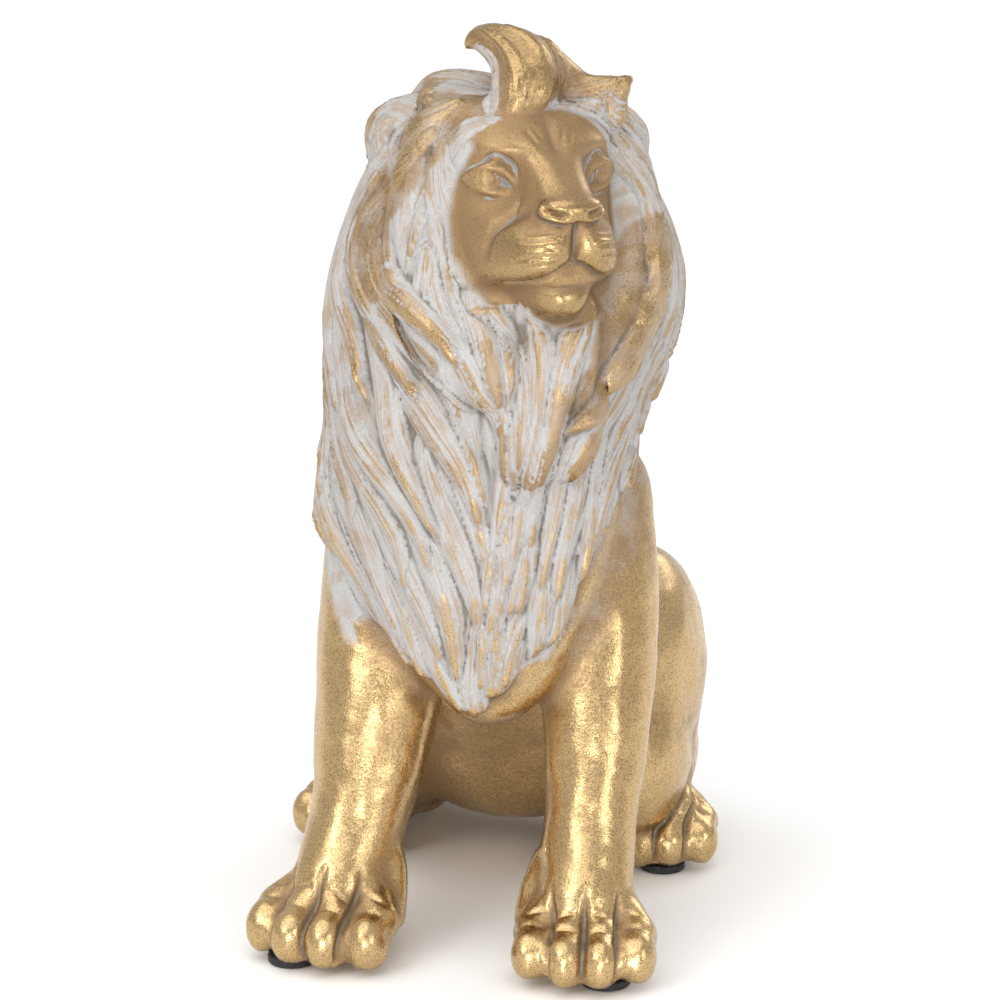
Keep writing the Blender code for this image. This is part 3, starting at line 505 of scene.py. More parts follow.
# Heavy locks beside the right ear, on the right cheek and inside the left of the mane: points, half
# width and height of each
HEAVY_LOCKS = (
    ([(-2, -39, 208), (-7, -38, 204), (-12, -35, 197), (-17, -31, 190), (-22, -27, 183),
      (-27, -22, 174)], 5.2, 2.2),
    ([(4, -34, 208), (-4, -31, 208), (-13, -27, 205), (-22, -22, 199), (-29, -16, 190)], 5.0, 2.6),
    ([(6, -26, 211), (-2, -22, 210), (-11, -17, 206), (-20, -12, 200)], 5.0, 2.6),
    ([(22, -26, 204), (28, -21, 203), (33, -15, 199), (38, -10, 192)], 4.6, 2.4),
    ([(-18, -34, 184), (-25, -30, 177), (-27, -30, 168), (-24, -34, 158), (-15, -42, 147),
      (-7, -47, 139)], 6.0, 3.4),
    ([(34, -20, 192), (38, -18, 180), (39, -20, 168), (36, -29, 154), (29, -41, 143), (22, -48, 133)],
     6.0, 3.6),
)

# Fringe along the hairline, then ridges along the forelock and the tuft
RIDGES = (
    [(12, -41, 204), (18, -39, 206), (26, -34, 204), (32, -27, 198), (36, -21, 188), (37, -20, 177)],
    [(16, -37, 207), (22, -34, 208), (29, -29, 206), (35, -21, 199), (38, -16, 188)],
    [(9, -42, 203), (2, -43, 203), (-4, -42, 198), (-9, -40, 189), (-11, -39, 179), (-10, -40, 168)],
    [(9, -44, 203), (11.5, -45, 208), (12.5, -44, 214), (11, -40, 220), (5, -35, 225), (-1, -31, 227)],
    [(15, -43, 205), (18, -42, 211), (17.5, -38, 217), (12, -34, 223), (5, -31, 227)],
    [(20, -35, 207), (21, -33, 213), (17, -30, 220), (11, -28, 225)],
    [(6, -42, 205), (7, -40, 211), (6, -37, 217), (2, -33, 221), (-2, -30, 222)],
    [(19, -31, 204), (26, -31, 206), (32, -29, 210), (37, -25, 215)],
    [(18, -31, 210), (25, -30, 211), (32, -28, 213), (37, -25, 216)],
)

# Half width, height, lift and crest shift of a ridge
RIDGE_SHAPE = (2.9, 0.8, 0.0, 0.2)


def on_lines(lines, s, t):
    """Points at fractional line numbers s and shares t along them."""
    s = np.clip(s, 0, len(lines) - 1)
    i = np.minimum(s.astype(int), len(lines) - 2)
    f = (s - i)[:, None]
    at = np.clip(t, 0, 1) * (lines.shape[1] - 1)
    j = np.minimum(at.astype(int), lines.shape[1] - 2)
    g = (at - j)[:, None]
    near = lines[i, j] * (1 - g) + lines[i, j + 1] * g
    far = lines[i + 1, j] * (1 - g) + lines[i + 1, j + 1] * g
    return near * (1 - f) + far * f


def mane_locks():
    """Every lock as (centreline, half width, height, lift, crest shift)."""
    rng = np.random.default_rng(11)
    locks = []
    wave = np.sin(np.linspace(0, 5, CHEST_LOCK_POINTS))
    for t0, t1, lift in CHEST_TIERS:
        for s in CHEST_STARTS:
            low, high = t0 + rng.uniform(-0.08, 0.08), t1 + rng.uniform(-0.08, 0.08)
            sway = rng.uniform(0.1, 0.26) * rng.choice((-1, 1)) * wave
            path = on_lines(CHEST_LINES, s + sway, np.linspace(low, high, CHEST_LOCK_POINTS))
            half = rng.uniform(0.6, 0.8) * LOCK_HALF_WIDTH
            tall = rng.uniform(0.8, 1.1) * LOCK_HEIGHT
            locks.append((path, half, tall, lift, rng.uniform(-0.3, 0.3)))
    u = np.linspace(0, 1, LOCK_POINTS)
    for row, (t0, t1) in enumerate(MANE_TIERS):
        s = TIER_SHIFT * (row % 2)
        while s < len(MANE_LINES) - 0.9:
            low, high = t0 + rng.uniform(-0.05, 0.05), t1 + rng.uniform(-0.08, 0.08)
            turns = 2 * np.pi * (u * rng.uniform(0.7, 1.0) + rng.uniform(-0.1, 0.1))
            sway = rng.uniform(0.12, 0.34) * rng.choice((-1, 1)) * np.sin(turns)
            path = on_lines(MANE_LINES, s + sway, np.linspace(low, high, LOCK_POINTS))
            half = rng.uniform(0.86, 1.14) * LOCK_HALF_WIDTH
            tall = rng.uniform(0.85, 1.25) * LOCK_HEIGHT
            locks.append((path, half, tall, TIER_LIFT * row, rng.uniform(-0.35, 0.35)))
            s += LOCK_SPACING * rng.uniform(0.85, 1.15)
    for points, half, tall in HEAVY_LOCKS:
        locks.append((smooth_rows(points, LOCK_POINTS), half, tall, HEAVY_LIFT, 0.0))
    for points in RIDGES:
        locks.append((smooth_rows(points, LOCK_POINTS), *RIDGE_SHAPE))
    return locks


# Reach round a path over its half width, the shortest run squared, depth's weight in finding the nearest
# run, the depth past which a point is out of reach and what its distance then counts as
PATH_REACH = 1.1
SHORTEST_RUN = 1e-6
DEPTH_WEIGHT = 0.3
PATH_DEPTH = 9
FAR_OFF = 99.0


def near_path(co, no, path, half):
    """Vertices near a path: their numbers, share along it and side distance over its half width."""
    reach = half * PATH_REACH
    inside = np.all((co > path.min(0) - reach) & (co < path.max(0) + reach), axis=1)
    index = np.nonzero(inside)[0]
    point, normal = co[index], no[index]
    run = path[1:] - path[:-1]
    rel = point[:, None, :] - path[None, :-1]
    length = np.maximum((run * run).sum(1), SHORTEST_RUN)
    along = np.clip((rel * run[None]).sum(2) / length[None], 0, 1)
    off = rel - along[..., None] * run[None]
    deep = (off * normal[:, None, :]).sum(2)
    flat = off - deep[..., None] * normal[:, None, :]
    k = ((flat ** 2).sum(2) + DEPTH_WEIGHT * deep ** 2).argmin(1)
    row = np.arange(len(index))
    flat, deep = flat[row, k], deep[row, k]
    side = np.sign((np.cross(run[k], normal) * flat).sum(1))
    gap = np.where(np.abs(deep) > PATH_DEPTH, FAR_OFF, np.sqrt((flat ** 2).sum(1)))
    return index, (k + along[row, k]) / len(run), side * gap / half


def evened(values, mesh, rounds):
    """Vertex values averaged with their neighbours'."""
    edges = np.zeros(len(mesh.edges) * 2, np.int32)
    mesh.edges.foreach_get("vertices", edges)
    one, other = edges[0::2], edges[1::2]
    count = len(values)
    number = np.bincount(one, minlength=count) + np.bincount(other, minlength=count)
    for _ in range(rounds):
        total = np.bincount(one, values[other], count) + np.bincount(other, values[one], count)
        values = 0.5 * values + 0.5 * total / np.maximum(number, 1)
    return values


def bell(x):
    """1 in the middle, falling to 0 at -1 and 1."""
    return 0.5 + 0.5 * np.cos(np.pi * np.clip(x, -1, 1))


def snapped(tree, points, frame):
    """The points brought onto the surface, evened along the path."""
    path = np.array([tree.find_nearest(frame @ Vector(p))[0] for p in points])
    for _ in range(2):
        path[1:-1] = (path[:-2] + 2 * path[1:-1] + path[2:]) / 4
    return path


def head_axes(co):
    """The points' x, y and z in the head's axes."""
    back = np.array(HEAD.inverted())
    return (co @ back[:3, :3].T + back[:3, 3]).T


def face_share(co):
    """0 on the face, 1 away from it."""
    x, y, z = head_axes(co)
    wide = np.abs(x / FACE_HALF_WIDTH) ** FACE_CURVE
    tall = np.abs((z - FACE_MIDDLE) / FACE_HALF_HEIGHT) ** FACE_CURVE
    start, width = FACE_FADE
    outside = np.clip(((wide + tall) ** (1 / FACE_CURVE) - start) / width, 0, 1)
    throat = THROAT_LEAD * np.clip(CHIN_FOOT - z, 0, 1)
    return np.maximum(outside, np.clip((y - CHEEK_END + throat) / CHEEK_FADE, 0, 1))


def groove(co, no, tree, points, half, depth, ends, frame=HEAD):
    """A crease along a path given in a frame's axes."""
    path = snapped(tree, smooth_rows(points, 6 * (len(points) - 1) + 1), frame)
    index, t, d = near_path(co, no, path, half)
    fade = np.clip(np.minimum(t, 1 - t) / ends, 0, 1) ** 0.6
    co[index] -= no[index] * (depth * bell(d) * fade)[:, None]


def dish(co, centre, direction, radius, depth):
    """A round hollow pushed along a direction in the head's axes."""
    middle = np.array(HEAD @ Vector(centre))
    push = np.array((HEAD.to_3x3() @ Vector(direction)).normalized())
    rel = co - middle
    along = rel @ push
    out = np.sqrt(np.maximum((rel ** 2).sum(1) - along ** 2, 0))
    co += push[None] * (depth * bell(out / radius) * (np.abs(along) < radius))[:, None]


# Creases on each side of the face: points on its left in the head's axes, half width, depth and the share
# that fades at an end. Half of the mouth, a nostril, the nose's rim, behind the muzzle, over the eye
SIDE_CREASES = (
    ([(0, -17, -18.4), (3.4, -16.6, -19.4), (7.4, -14, -21.8), (11, -10.5, -24.2), (14.4, -6.5, -25.6)],
     1.3, 1.3, 0.12),
    ([(2.2, -19.6, -6.4), (4.4, -19, -6.2), (6.6, -17, -5.2), (7.8, -14.6, -4)], 1.5, 1.8, 0.25),
    ([(0.4, -19, -9.2), (4.5, -18.6, -9), (8, -14.6, -7.4), (9.6, -10.5, -5)], 1.0, 0.9, 0.25),
    ([(9.2, -11, -5.4), (12, -7, -7.4), (14, -3, -12), (14.6, -2, -18)], 2.2, 1.1, 0.25),
    ([(8, -2.8, 2.6), (10.6, -1.6, 5.3), (13.6, -1, 6), (17, 1.6, 4.4), (19, 6, 1.6)], 1.0, 0.7, 0.25),
)

# The same for the lip cleft, the forehead cleft and the crease over the chin
MIDDLE_CREASES = (
    ([(0, -19.6, -8.2), (0, -17, -18.4)], 1.3, 1.3, 0.1),
    ([(0, 0.5, 15), (0, -2, 10), (0, -5, 5)], 2.4, 0.5, 0.25),
    ([(-6.5, -12.5, -24), (0, -15.6, -23.6), (6.5, -12.5, -24)], 1.4, 0.6, 0.25),
)


def mirrored(points, side):
    return [(x * side, y, z) for x, y, z in points]


def face_relief(co, no, tree):
    """The creases that the solid's face has too, and the hollows of the ears."""
    for s in (-1, 1):
        for points, half, depth, ends in SIDE_CREASES:
            groove(co, no, tree, mirrored(points, s), half, depth, ends)
        dish(co, (26 * s, 26, 7), (-0.35 * s, 1, -0.1), 5.4, 3.6)
    for points, half, depth, ends in MIDDLE_CREASES:
        groove(co, no, tree, points, half, depth, ends)


def toe_relief(co, no, tree):
    """The cleft between each pair of toes, from the hand over the knuckles to the sole."""
    for wrist, middle, width, toe in PAWS:
        ahead, found = toes(wrist, middle, width, toe)
        for one, other in zip(found, found[1:]):
            root, knuckle, tip = [(a + b) / 2 for a, b in zip(one, other)]
            points = [root.lerp(knuckle, 0.6) + Vector((0, 0, 8)), knuckle + Vector((0, 0, 6)),
                      tip + ahead * 1.5 + Vector((0, 0, 6)), tip + ahead * 5,
                      tip + ahead * 4 + Vector((0, 0, -5))]
            groove(co, no, tree, points, 1.5, 1.4, 0.3, BODY)


# Widths and depths of the fine carving, in modelling units
STRAND = 1.55
STRAND_DEPTH = 0.72
WHISKER_DEPTH = 0.45

# White wash on the heavy locks, the fringe and the crest's ridges, in their order
HEAVY_COATS = (0.1, 0.9, 0.9, 0.9, 0.12, 0.3, 1.0, 0.9, 1.0, 0.0, 0.0, 0.1, 0.75, 0.0, 0.1)

# Middle of the left ear in the head's axes, and the strength of the wash in the ears
EAR = (26, 28, 7)
EAR_WASH = 1.9

# Height that hair starts at, the flow's measure from line to line and along a line, the number of the
# breast's first line, and the flow grid's places from line to line
MANE_FOOT = 52
FLOW_ACROSS = 7
FLOW_ALONG = 90
CHEST_NUMBER = 20.0
GRID_BETWEEN = 12

# Wash on hair outside the locks, and the range that the locks' own is drawn from
LOOSE_COAT = 0.85
LOCK_COATS = (0.72, 1.0)

# Middle of the wash round the left eye, in the head's axes
EYE_MIDDLE = (12.8, 4.6, -0.6)

# Gaze and splay of the eyes in degrees; for iris and pupil the ring's radius, half width and depth
GAZE = 6
EYE_SPLAY = 14
EYE_RINGS = ((2.3, 0.4, 0.25), (0.3, 0.9, 0.25))
RING_POINTS = 13

# The left tear line in the head's axes
TEAR_LINE = [(8, -5, -3), (9.6, -6, -6.6), (12.4, -5.4, -9), (14.4, -3, -13)]

# Rows of whiskers and folds of the forehead on a side, the first one's place and the step to the next
WHISKER_ROWS, WHISKER_TOP, WHISKER_STEP = 5, -10.2, 1.9
FOLDS, FOLD_FIRST, FOLD_STEP = 2, 1.6, 2.2

# Ripples of the bare surface: height, size of the bumps and seed
RIPPLES = ((0.16, 15, 3), (0.07, 6, 4))
RIPPLE_WAVES = 14

# Places where the wash was left off: the two ends of each, its radius and the wash left there
BARE_PLACES = (
    ((-6, -38, 205), (-21, -28, 185), 6.5, 0.05),
    ((-23, -25, 180), (-23, -29, 165), 6.5, 0.1),
    ((-18, -36, 159), (-6, -47, 150), 3.5, 0.3),
    ((40, -28, 176), (36, -40, 153), 7, 0.0),
    ((36, -40, 153), (28, -47, 141), 4.5, 0.15),
)


def flow_grid():
    """Points all over the mane with the line number and share along it that each stands for."""
    points, places = [], []
    for lines, first in ((MANE_LINES, 0.0), (CHEST_LINES, CHEST_NUMBER)):
        number = GRID_BETWEEN * (len(lines) - 1) + 1
        s, t = np.meshgrid(np.linspace(0, len(lines) - 1, number), np.linspace(0, 1, FLOW_ALONG))
        points.append(on_lines(lines, s.ravel(), t.ravel()))
        places.append(np.stack([s.ravel() + first, t.ravel()], 1))
    return np.vstack(points), np.vstack(places)


def hair(mesh, co, no, tree):
    """Locks and strands raised on the form: the new points and the hair's measures at each."""
    count = len(co)
    points, places = flow_grid()
    grid = KDTree(len(points))
    for number, point in enumerate(points):
        grid.insert(point, number)
    grid.balance()
    across, along, near = np.zeros(count), np.zeros(count), np.full(count, FAR_OFF)
    for number in np.nonzero(co[:, 2] > MANE_FOOT)[0]:
        _, place, near[number] = grid.find(co[number])
        across[number] = places[place, 0] * FLOW_ACROSS
        along[number] = places[place, 1] * FLOW_ALONG
    share = smooth_step(14, 7, near) * smooth_step(0, 5, along)
    share *= smooth_step(FLOW_ALONG, FLOW_ALONG - 6, along)
    paint = np.full(count, LOOSE_COAT)
    relief, owner = np.zeros(count), np.zeros(count)
    locks = mane_locks()
    coats = np.random.default_rng(5).uniform(*LOCK_COATS, len(locks))
    coats[-len(HEAVY_COATS):] = HEAVY_COATS
    for number, (path, half, tall, lift, crest) in enumerate(locks):
        index, t, d = near_path(co, no, snapped(tree, path, BODY), half)
        width = np.minimum(0.35 + 3.2 * t, 1) * np.clip((1 - t) / 0.5, 0, 1) ** 0.65
        rise = (0.3 + 0.7 * np.clip(t / 0.6, 0, 1) ** 1.2) * np.clip((1 - t) / 0.1, 0, 1) ** 0.7
        x = d / np.maximum(width, 0.001)
        edge = np.clip(1 - np.abs(x) ** 1.7, 0, 1) * (1 + crest * np.clip(x, -1, 1))
        height = (tall * edge + lift * np.clip(edge * 4, 0, 1)) * rise
        wins = height > relief[index]
        won = index[wins]
        relief[won] = height[wins]
        across[won] = 0.7 * (d * half)[wins] + 0.3 * (x * half)[wins] + 3 * number
        along[won] = t[wins] * 40 + 11 * number
        owner[won] = number
        paint[won] = coats[number]
        cover = np.clip(edge[wins] * 3, 0, 1) * np.clip((1 - t[wins]) * 8, 0, 1)
        share[won] = np.maximum(share[won], cover)
    for one, other, radius, left in BARE_PLACES:
        one, other = np.array(one, float), np.array(other, float)
        run = (other - one) * (1, 0.3, 1)
        rel = (co - one) * (1, 0.3, 1)
        off = rel - np.clip(rel @ run / (run @ run), 0, 1)[:, None] * run
        gap = np.sqrt((off ** 2).sum(1))
        paint = np.minimum(paint, left + smooth_step(radius * 0.6, radius * 1.3, gap))
    off_face = face_share(co)
    share *= off_face
    haze = smooth_step(34, 6, near) * off_face * smooth_step(46, 90, co[:, 2])
    for s in (-1, 1):
        middle = np.array(HEAD @ Vector((EAR[0] * s, EAR[1], EAR[2])))
        gap = np.sqrt(((co - middle) ** 2).sum(1))
        haze = np.maximum(haze, EAR_WASH * smooth_step(10, 7, gap))
    phase = across / STRAND + 0.35 * np.sin(across * 1.1 + owner) + 0.25 * np.sin(along * 0.23 + owner * 2.1)
    valley = np.abs(2 * (phase - np.floor(phase)) - 1) ** 3
    deep = 0.62 + 0.38 * np.sin(across * 0.83 + 2.3 * owner + along * 0.05)
    strands = -STRAND_DEPTH * valley * deep * share
    relief = evened(relief * off_face, mesh, 1)
    return co + no * (relief + strands)[:, None], share, paint, haze, across, along


def smooth_step(low, high, x):
    """0 at low, 1 at high and eased between, also where high is the smaller."""
    t = np.clip((x - low) / (high - low), 0, 1)
    return t * t * (3 - 2 * t)


def ripple(co, size, seed):
    """A smooth bumpy field about zero, with bumps of roughly the given size."""
    rng = np.random.default_rng(seed)
    total = np.zeros(len(co))
    for _ in range(RIPPLE_WAVES):
        way = rng.normal(size=3)
        way *= rng.uniform(0.6, 1.5) / np.linalg.norm(way)
        total += np.sin(co @ way * (2 * np.pi / size) + rng.uniform(0, 2 * np.pi))
    return total / math.sqrt(RIPPLE_WAVES)


def eye_point(side, turn, lift):
    """A point on the eyeball, turned outward and lifted by degrees."""
    a, e = math.radians(turn + EYE_SPLAY), math.radians(lift)
    return (side * (EYE[0] + EYEBALL * math.sin(a) * math.cos(e)),
            EYE[1] - EYEBALL * math.cos(a) * math.cos(e), EYE[2] + EYEBALL * math.sin(e))


def fine_face(co, no, tree):
    """Iris and pupil, tear line, whisker rows and folds, all finer than the solid's own creases."""
    for s in (-1, 1):
        for radius, half, depth in EYE_RINGS:
            reach = math.degrees(radius / EYEBALL)
            ring = [eye_point(s, GAZE + reach * math.cos(a), reach * math.sin(a))
                    for a in np.linspace(0, 2 * math.pi, RING_POINTS)]
            groove(co, no, tree, ring, half, depth, 0.01)
        groove(co, no, tree, mirrored(TEAR_LINE, s), 0.9, 0.6, 0.3)
        for row in range(WHISKER_ROWS):
            z = WHISKER_TOP - WHISKER_STEP * row
            whisker = [(3.2 + 0.3 * row, -18.4, z), (8, -17, z + 0.5), (13, -12, z - 0.4 * row)]
            groove(co, no, tree, mirrored(whisker, s), 0.75, WHISKER_DEPTH, 0.3)
        for number in range(FOLDS):
            x = FOLD_FIRST + FOLD_STEP * number
            fold = [(x, -3, 7), (x + 0.8, -4, 10), (x + 2.6, -1, 13.5)]
            groove(co, no, tree, mirrored(fold, s), 0.9, 0.4, 0.4)


def fine_toes(co, no, tree):
    """Two short wrinkles across each toe."""
    for wrist, middle, width, toe in PAWS:
        ahead, found = toes(wrist, middle, width, toe)
        side = Vector((-ahead.y, ahead.x, 0)) * toe * 0.75
        for _, knuckle, tip in found:
            for share in (0.15, 0.75):
                top = knuckle.lerp(tip, share) + Vector((0, 0, toe * 1.3))
                wrinkle = [top - side, top + Vector((0, 0, 1.2)) + ahead * 0.6, top + side]
                groove(co, no, tree, wrinkle, 0.8, 0.4, 0.4, BODY)


def dense_measures(co, no, edges):
    """How far each point stands out of (above 0) or lies in (below 0) its surroundings, fine and broad."""
    count = len(co)
    ends = np.concatenate([edges[:, 0], edges[:, 1]])
    others = np.concatenate([edges[:, 1], edges[:, 0]])
    number = np.maximum(np.bincount(ends, minlength=count), 1)
    soft = co.copy()
    found = []
    for rounds in (6, 30):
        for _ in range(rounds):
            total = np.stack([np.bincount(ends, soft[others, k], count) for k in range(3)], 1)
            soft = total / number[:, None]
        found.append(((co - soft) * no).sum(1))
    return found


def array_of(items, name):
    values = np.zeros(len(items) * 3)
    items.foreach_get(name, values)
    return values.reshape(-1, 3)


def cast_mesh():
    """The casting with its carving, and what its finish needs as point attributes."""
    mesh = rough()
    co, no = array_of(mesh.vertices, "co"), array_of(mesh.vertex_normals, "vector")
    tree = BVHTree.FromPolygons([v.co for v in mesh.vertices], [p.vertices for p in mesh.polygons])
    form = co.copy()
    co, share, paint, haze, across, along = hair(mesh, co, no, tree)
    face_relief(co, no, tree)
    toe_relief(co, no, tree)
    fine_face(co, no, tree)
    fine_toes(co, no, tree)
    calm = face_share(form) * (1 - share)
    bumps = sum(height * ripple(form, size, seed) for height, size, seed in RIPPLES)
    co += no * (bumps * calm)[:, None]
    co[co[:, 2] < SOLE, 2] = SOLE
    mesh.vertices.foreach_set("co", co.ravel())
    mesh.update()
    no = array_of(mesh.vertex_normals, "vector")
    edges = np.zeros(len(mesh.edges) * 2, int)
    mesh.edges.foreach_get("vertices", edges)
    fine, broad = dense_measures(co, no, edges.reshape(-1, 2))
    x, y, z = head_axes(form)
    out, back, up = EYE_MIDDLE
    eye = np.minimum(*[np.sqrt((x - out * s) ** 2 + (y - back) ** 2 + (z - up) ** 2) for s in (-1, 1)])
    found = {"hair": share, "paint": paint, "fine": fine, "broad": broad, "eye": eye, "haze": haze}
    for name, values in found.items():
        mesh.attributes.new(name, "FLOAT", "POINT").data.foreach_set("value", values)
    flow = np.stack([across, along, np.zeros(len(co))], 1)
    mesh.attributes.new("flow", "FLOAT_VECTOR", "POINT").data.foreach_set("vector", flow.ravel())
    count = sum(len(p.vertices) - 2 for p in mesh.polygons)
    if count > CAST_TRIANGLES:
        mesh = shaped(mesh, [("TRIANGULATE", {}), ("DECIMATE", {"ratio": CAST_TRIANGLES / count})])
    return mesh


def into_frame(mesh):
    """Scales the casting so that it stands on the frame's pads. Returns the unit, middle and height used."""
    design = np.array(list(PAD_PLACES.values()))
    corners = [(np.array(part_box(name)[0]), np.array(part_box(name)[1])) for name in PAD_PLACES]
    packed = np.array([(low + high)[:2] / 2 for low, high in corners])
    spread = design - design.mean(0)
    unit = ((packed - packed.mean(0)) * spread).sum() / (spread ** 2).sum()
    middle = design.mean(0) - packed.mean(0) / unit
    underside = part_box("lion")[0][2]
    co = array_of(mesh.vertices, "co")
    co[:, :2] = (co[:, :2] - middle) * unit
    co[:, 2] = (co[:, 2] - SOLE) * unit + underside
    mesh.vertices.foreach_set("co", co.ravel())
    mesh.update()
    return unit, middle, underside


# Scales of the noises, per metre, and the stretch of the streaks across and along the hair
GRAIN = 3000.0
FLECK = 950.0
BLOTCH = 130.0
CLOUD = 38.0
STREAK_STRETCH = (1.6, 0.1, 1.0)

# Heights in metres where the bright gold of the legs ends and the duller gold above is full; the brighter
# gold below is partly painted light from the floor
UPPER_START = 0.085
UPPER_END = 0.13

# Colours of the casting
TAN = (0.31, 0.195, 0.095, 1)
# The lower gold is partly shinier leaf and partly painted light thrown up from the floor
GOLD_LOWER_AND_FLOOR_LIGHT = (0.62, 0.435, 0.21, 1)
GOLD_UPPER = (0.46, 0.315, 0.15, 1)
GOLD_PORES = (0.235, 0.145, 0.068, 1)
WASH_WHITE = (0.46, 0.452, 0.445, 1)
WASH_TAN = (0.37, 0.255, 0.16, 1)
WASH_PORES = (0.36, 0.345, 0.33, 1)
# Dark wax and painted shade for the deepest lines
WAX_AND_GROOVE_SHADE = (0.16, 0.125, 0.09, 1)

# Roughness of the wash, and of gold where the leaf is thin and where it is whole
WASH_ROUGHNESS = 0.58
THIN_ROUGHNESS = 0.5
LEAF_ROUGHNESS = 0.25

# Heights in metres of the grain, the flecks and the streaks in the bump
GRAIN_HEIGHT = 0.00003
FLECK_HEIGHT = 0.0001
STREAK_HEIGHT = 0.00018

# Rubber of the pads and the dust on it
RUBBER = (0.012, 0.012, 0.013, 1)
RUBBER_DUST = (0.05, 0.05, 0.048, 1)
DUST = 500.0
RUBBER_GRAIN_HEIGHT = 0.00004


class Finish:
    """A material's nodes, added one by one."""

    def __init__(self, name):
        self.material = bpy.data.materials.new(name)
        self.material.use_nodes = True
        self.tree = self.material.node_tree
        self.shader = self.tree.nodes["Principled BSDF"]

    def node(self, kind, inputs, **settings):
        made = self.tree.nodes.new(kind)
        for name, value in settings.items():
            setattr(made, name, value)
        for name, value in inputs.items():
            self.feed(made.inputs[name], value)
        return made

    def feed(self, socket, value):
        if isinstance(value, bpy.types.NodeSocket):
            self.tree.links.new(value, socket)
        else:
            socket.default_value = value

    def measure(self, name, output="Fac"):
        """One of the mesh's point attributes."""
        return self.node("ShaderNodeAttribute", {}, attribute_name=name).outputs[output]

    def maths(self, operation, a, b=0.0, c=0.0):
        return self.node("ShaderNodeMath", {0: a, 1: b, 2: c}, operation=operation).outputs[0]

    def times(self, a, b):
        return self.maths("MULTIPLY", a, b)

    def plus(self, a, b):
        return self.maths("ADD", a, b)

    def scaled(self, value, size, shift):
        return self.maths("MULTIPLY_ADD", value, size, shift)

    def ramp(self, value, low, high, to_low=0.0, to_high=1.0):
        """The value eased from one range into another, and held at its ends."""
        inputs = {"Value": value, "From Min": low, "From Max": high, "To Min": to_low, "To Max": to_high}
        return self.node("ShaderNodeMapRange", inputs, interpolation_type="SMOOTHSTEP").outputs[0]

    def blend(self, factor, a, b):
        mix = self.node("ShaderNodeMix", {}, data_type="RGBA")
        for number, value in ((0, factor), (6, a), (7, b)):
            self.feed(mix.inputs[number], value)
        return mix.outputs[2]

    def noise(self, vector, scale, detail=3.0, rough=0.55):
        return self.node("ShaderNodeTexNoise", {"Vector": vector, "Scale": scale, "Detail": detail,
                                                "Roughness": rough}).outputs["Fac"]


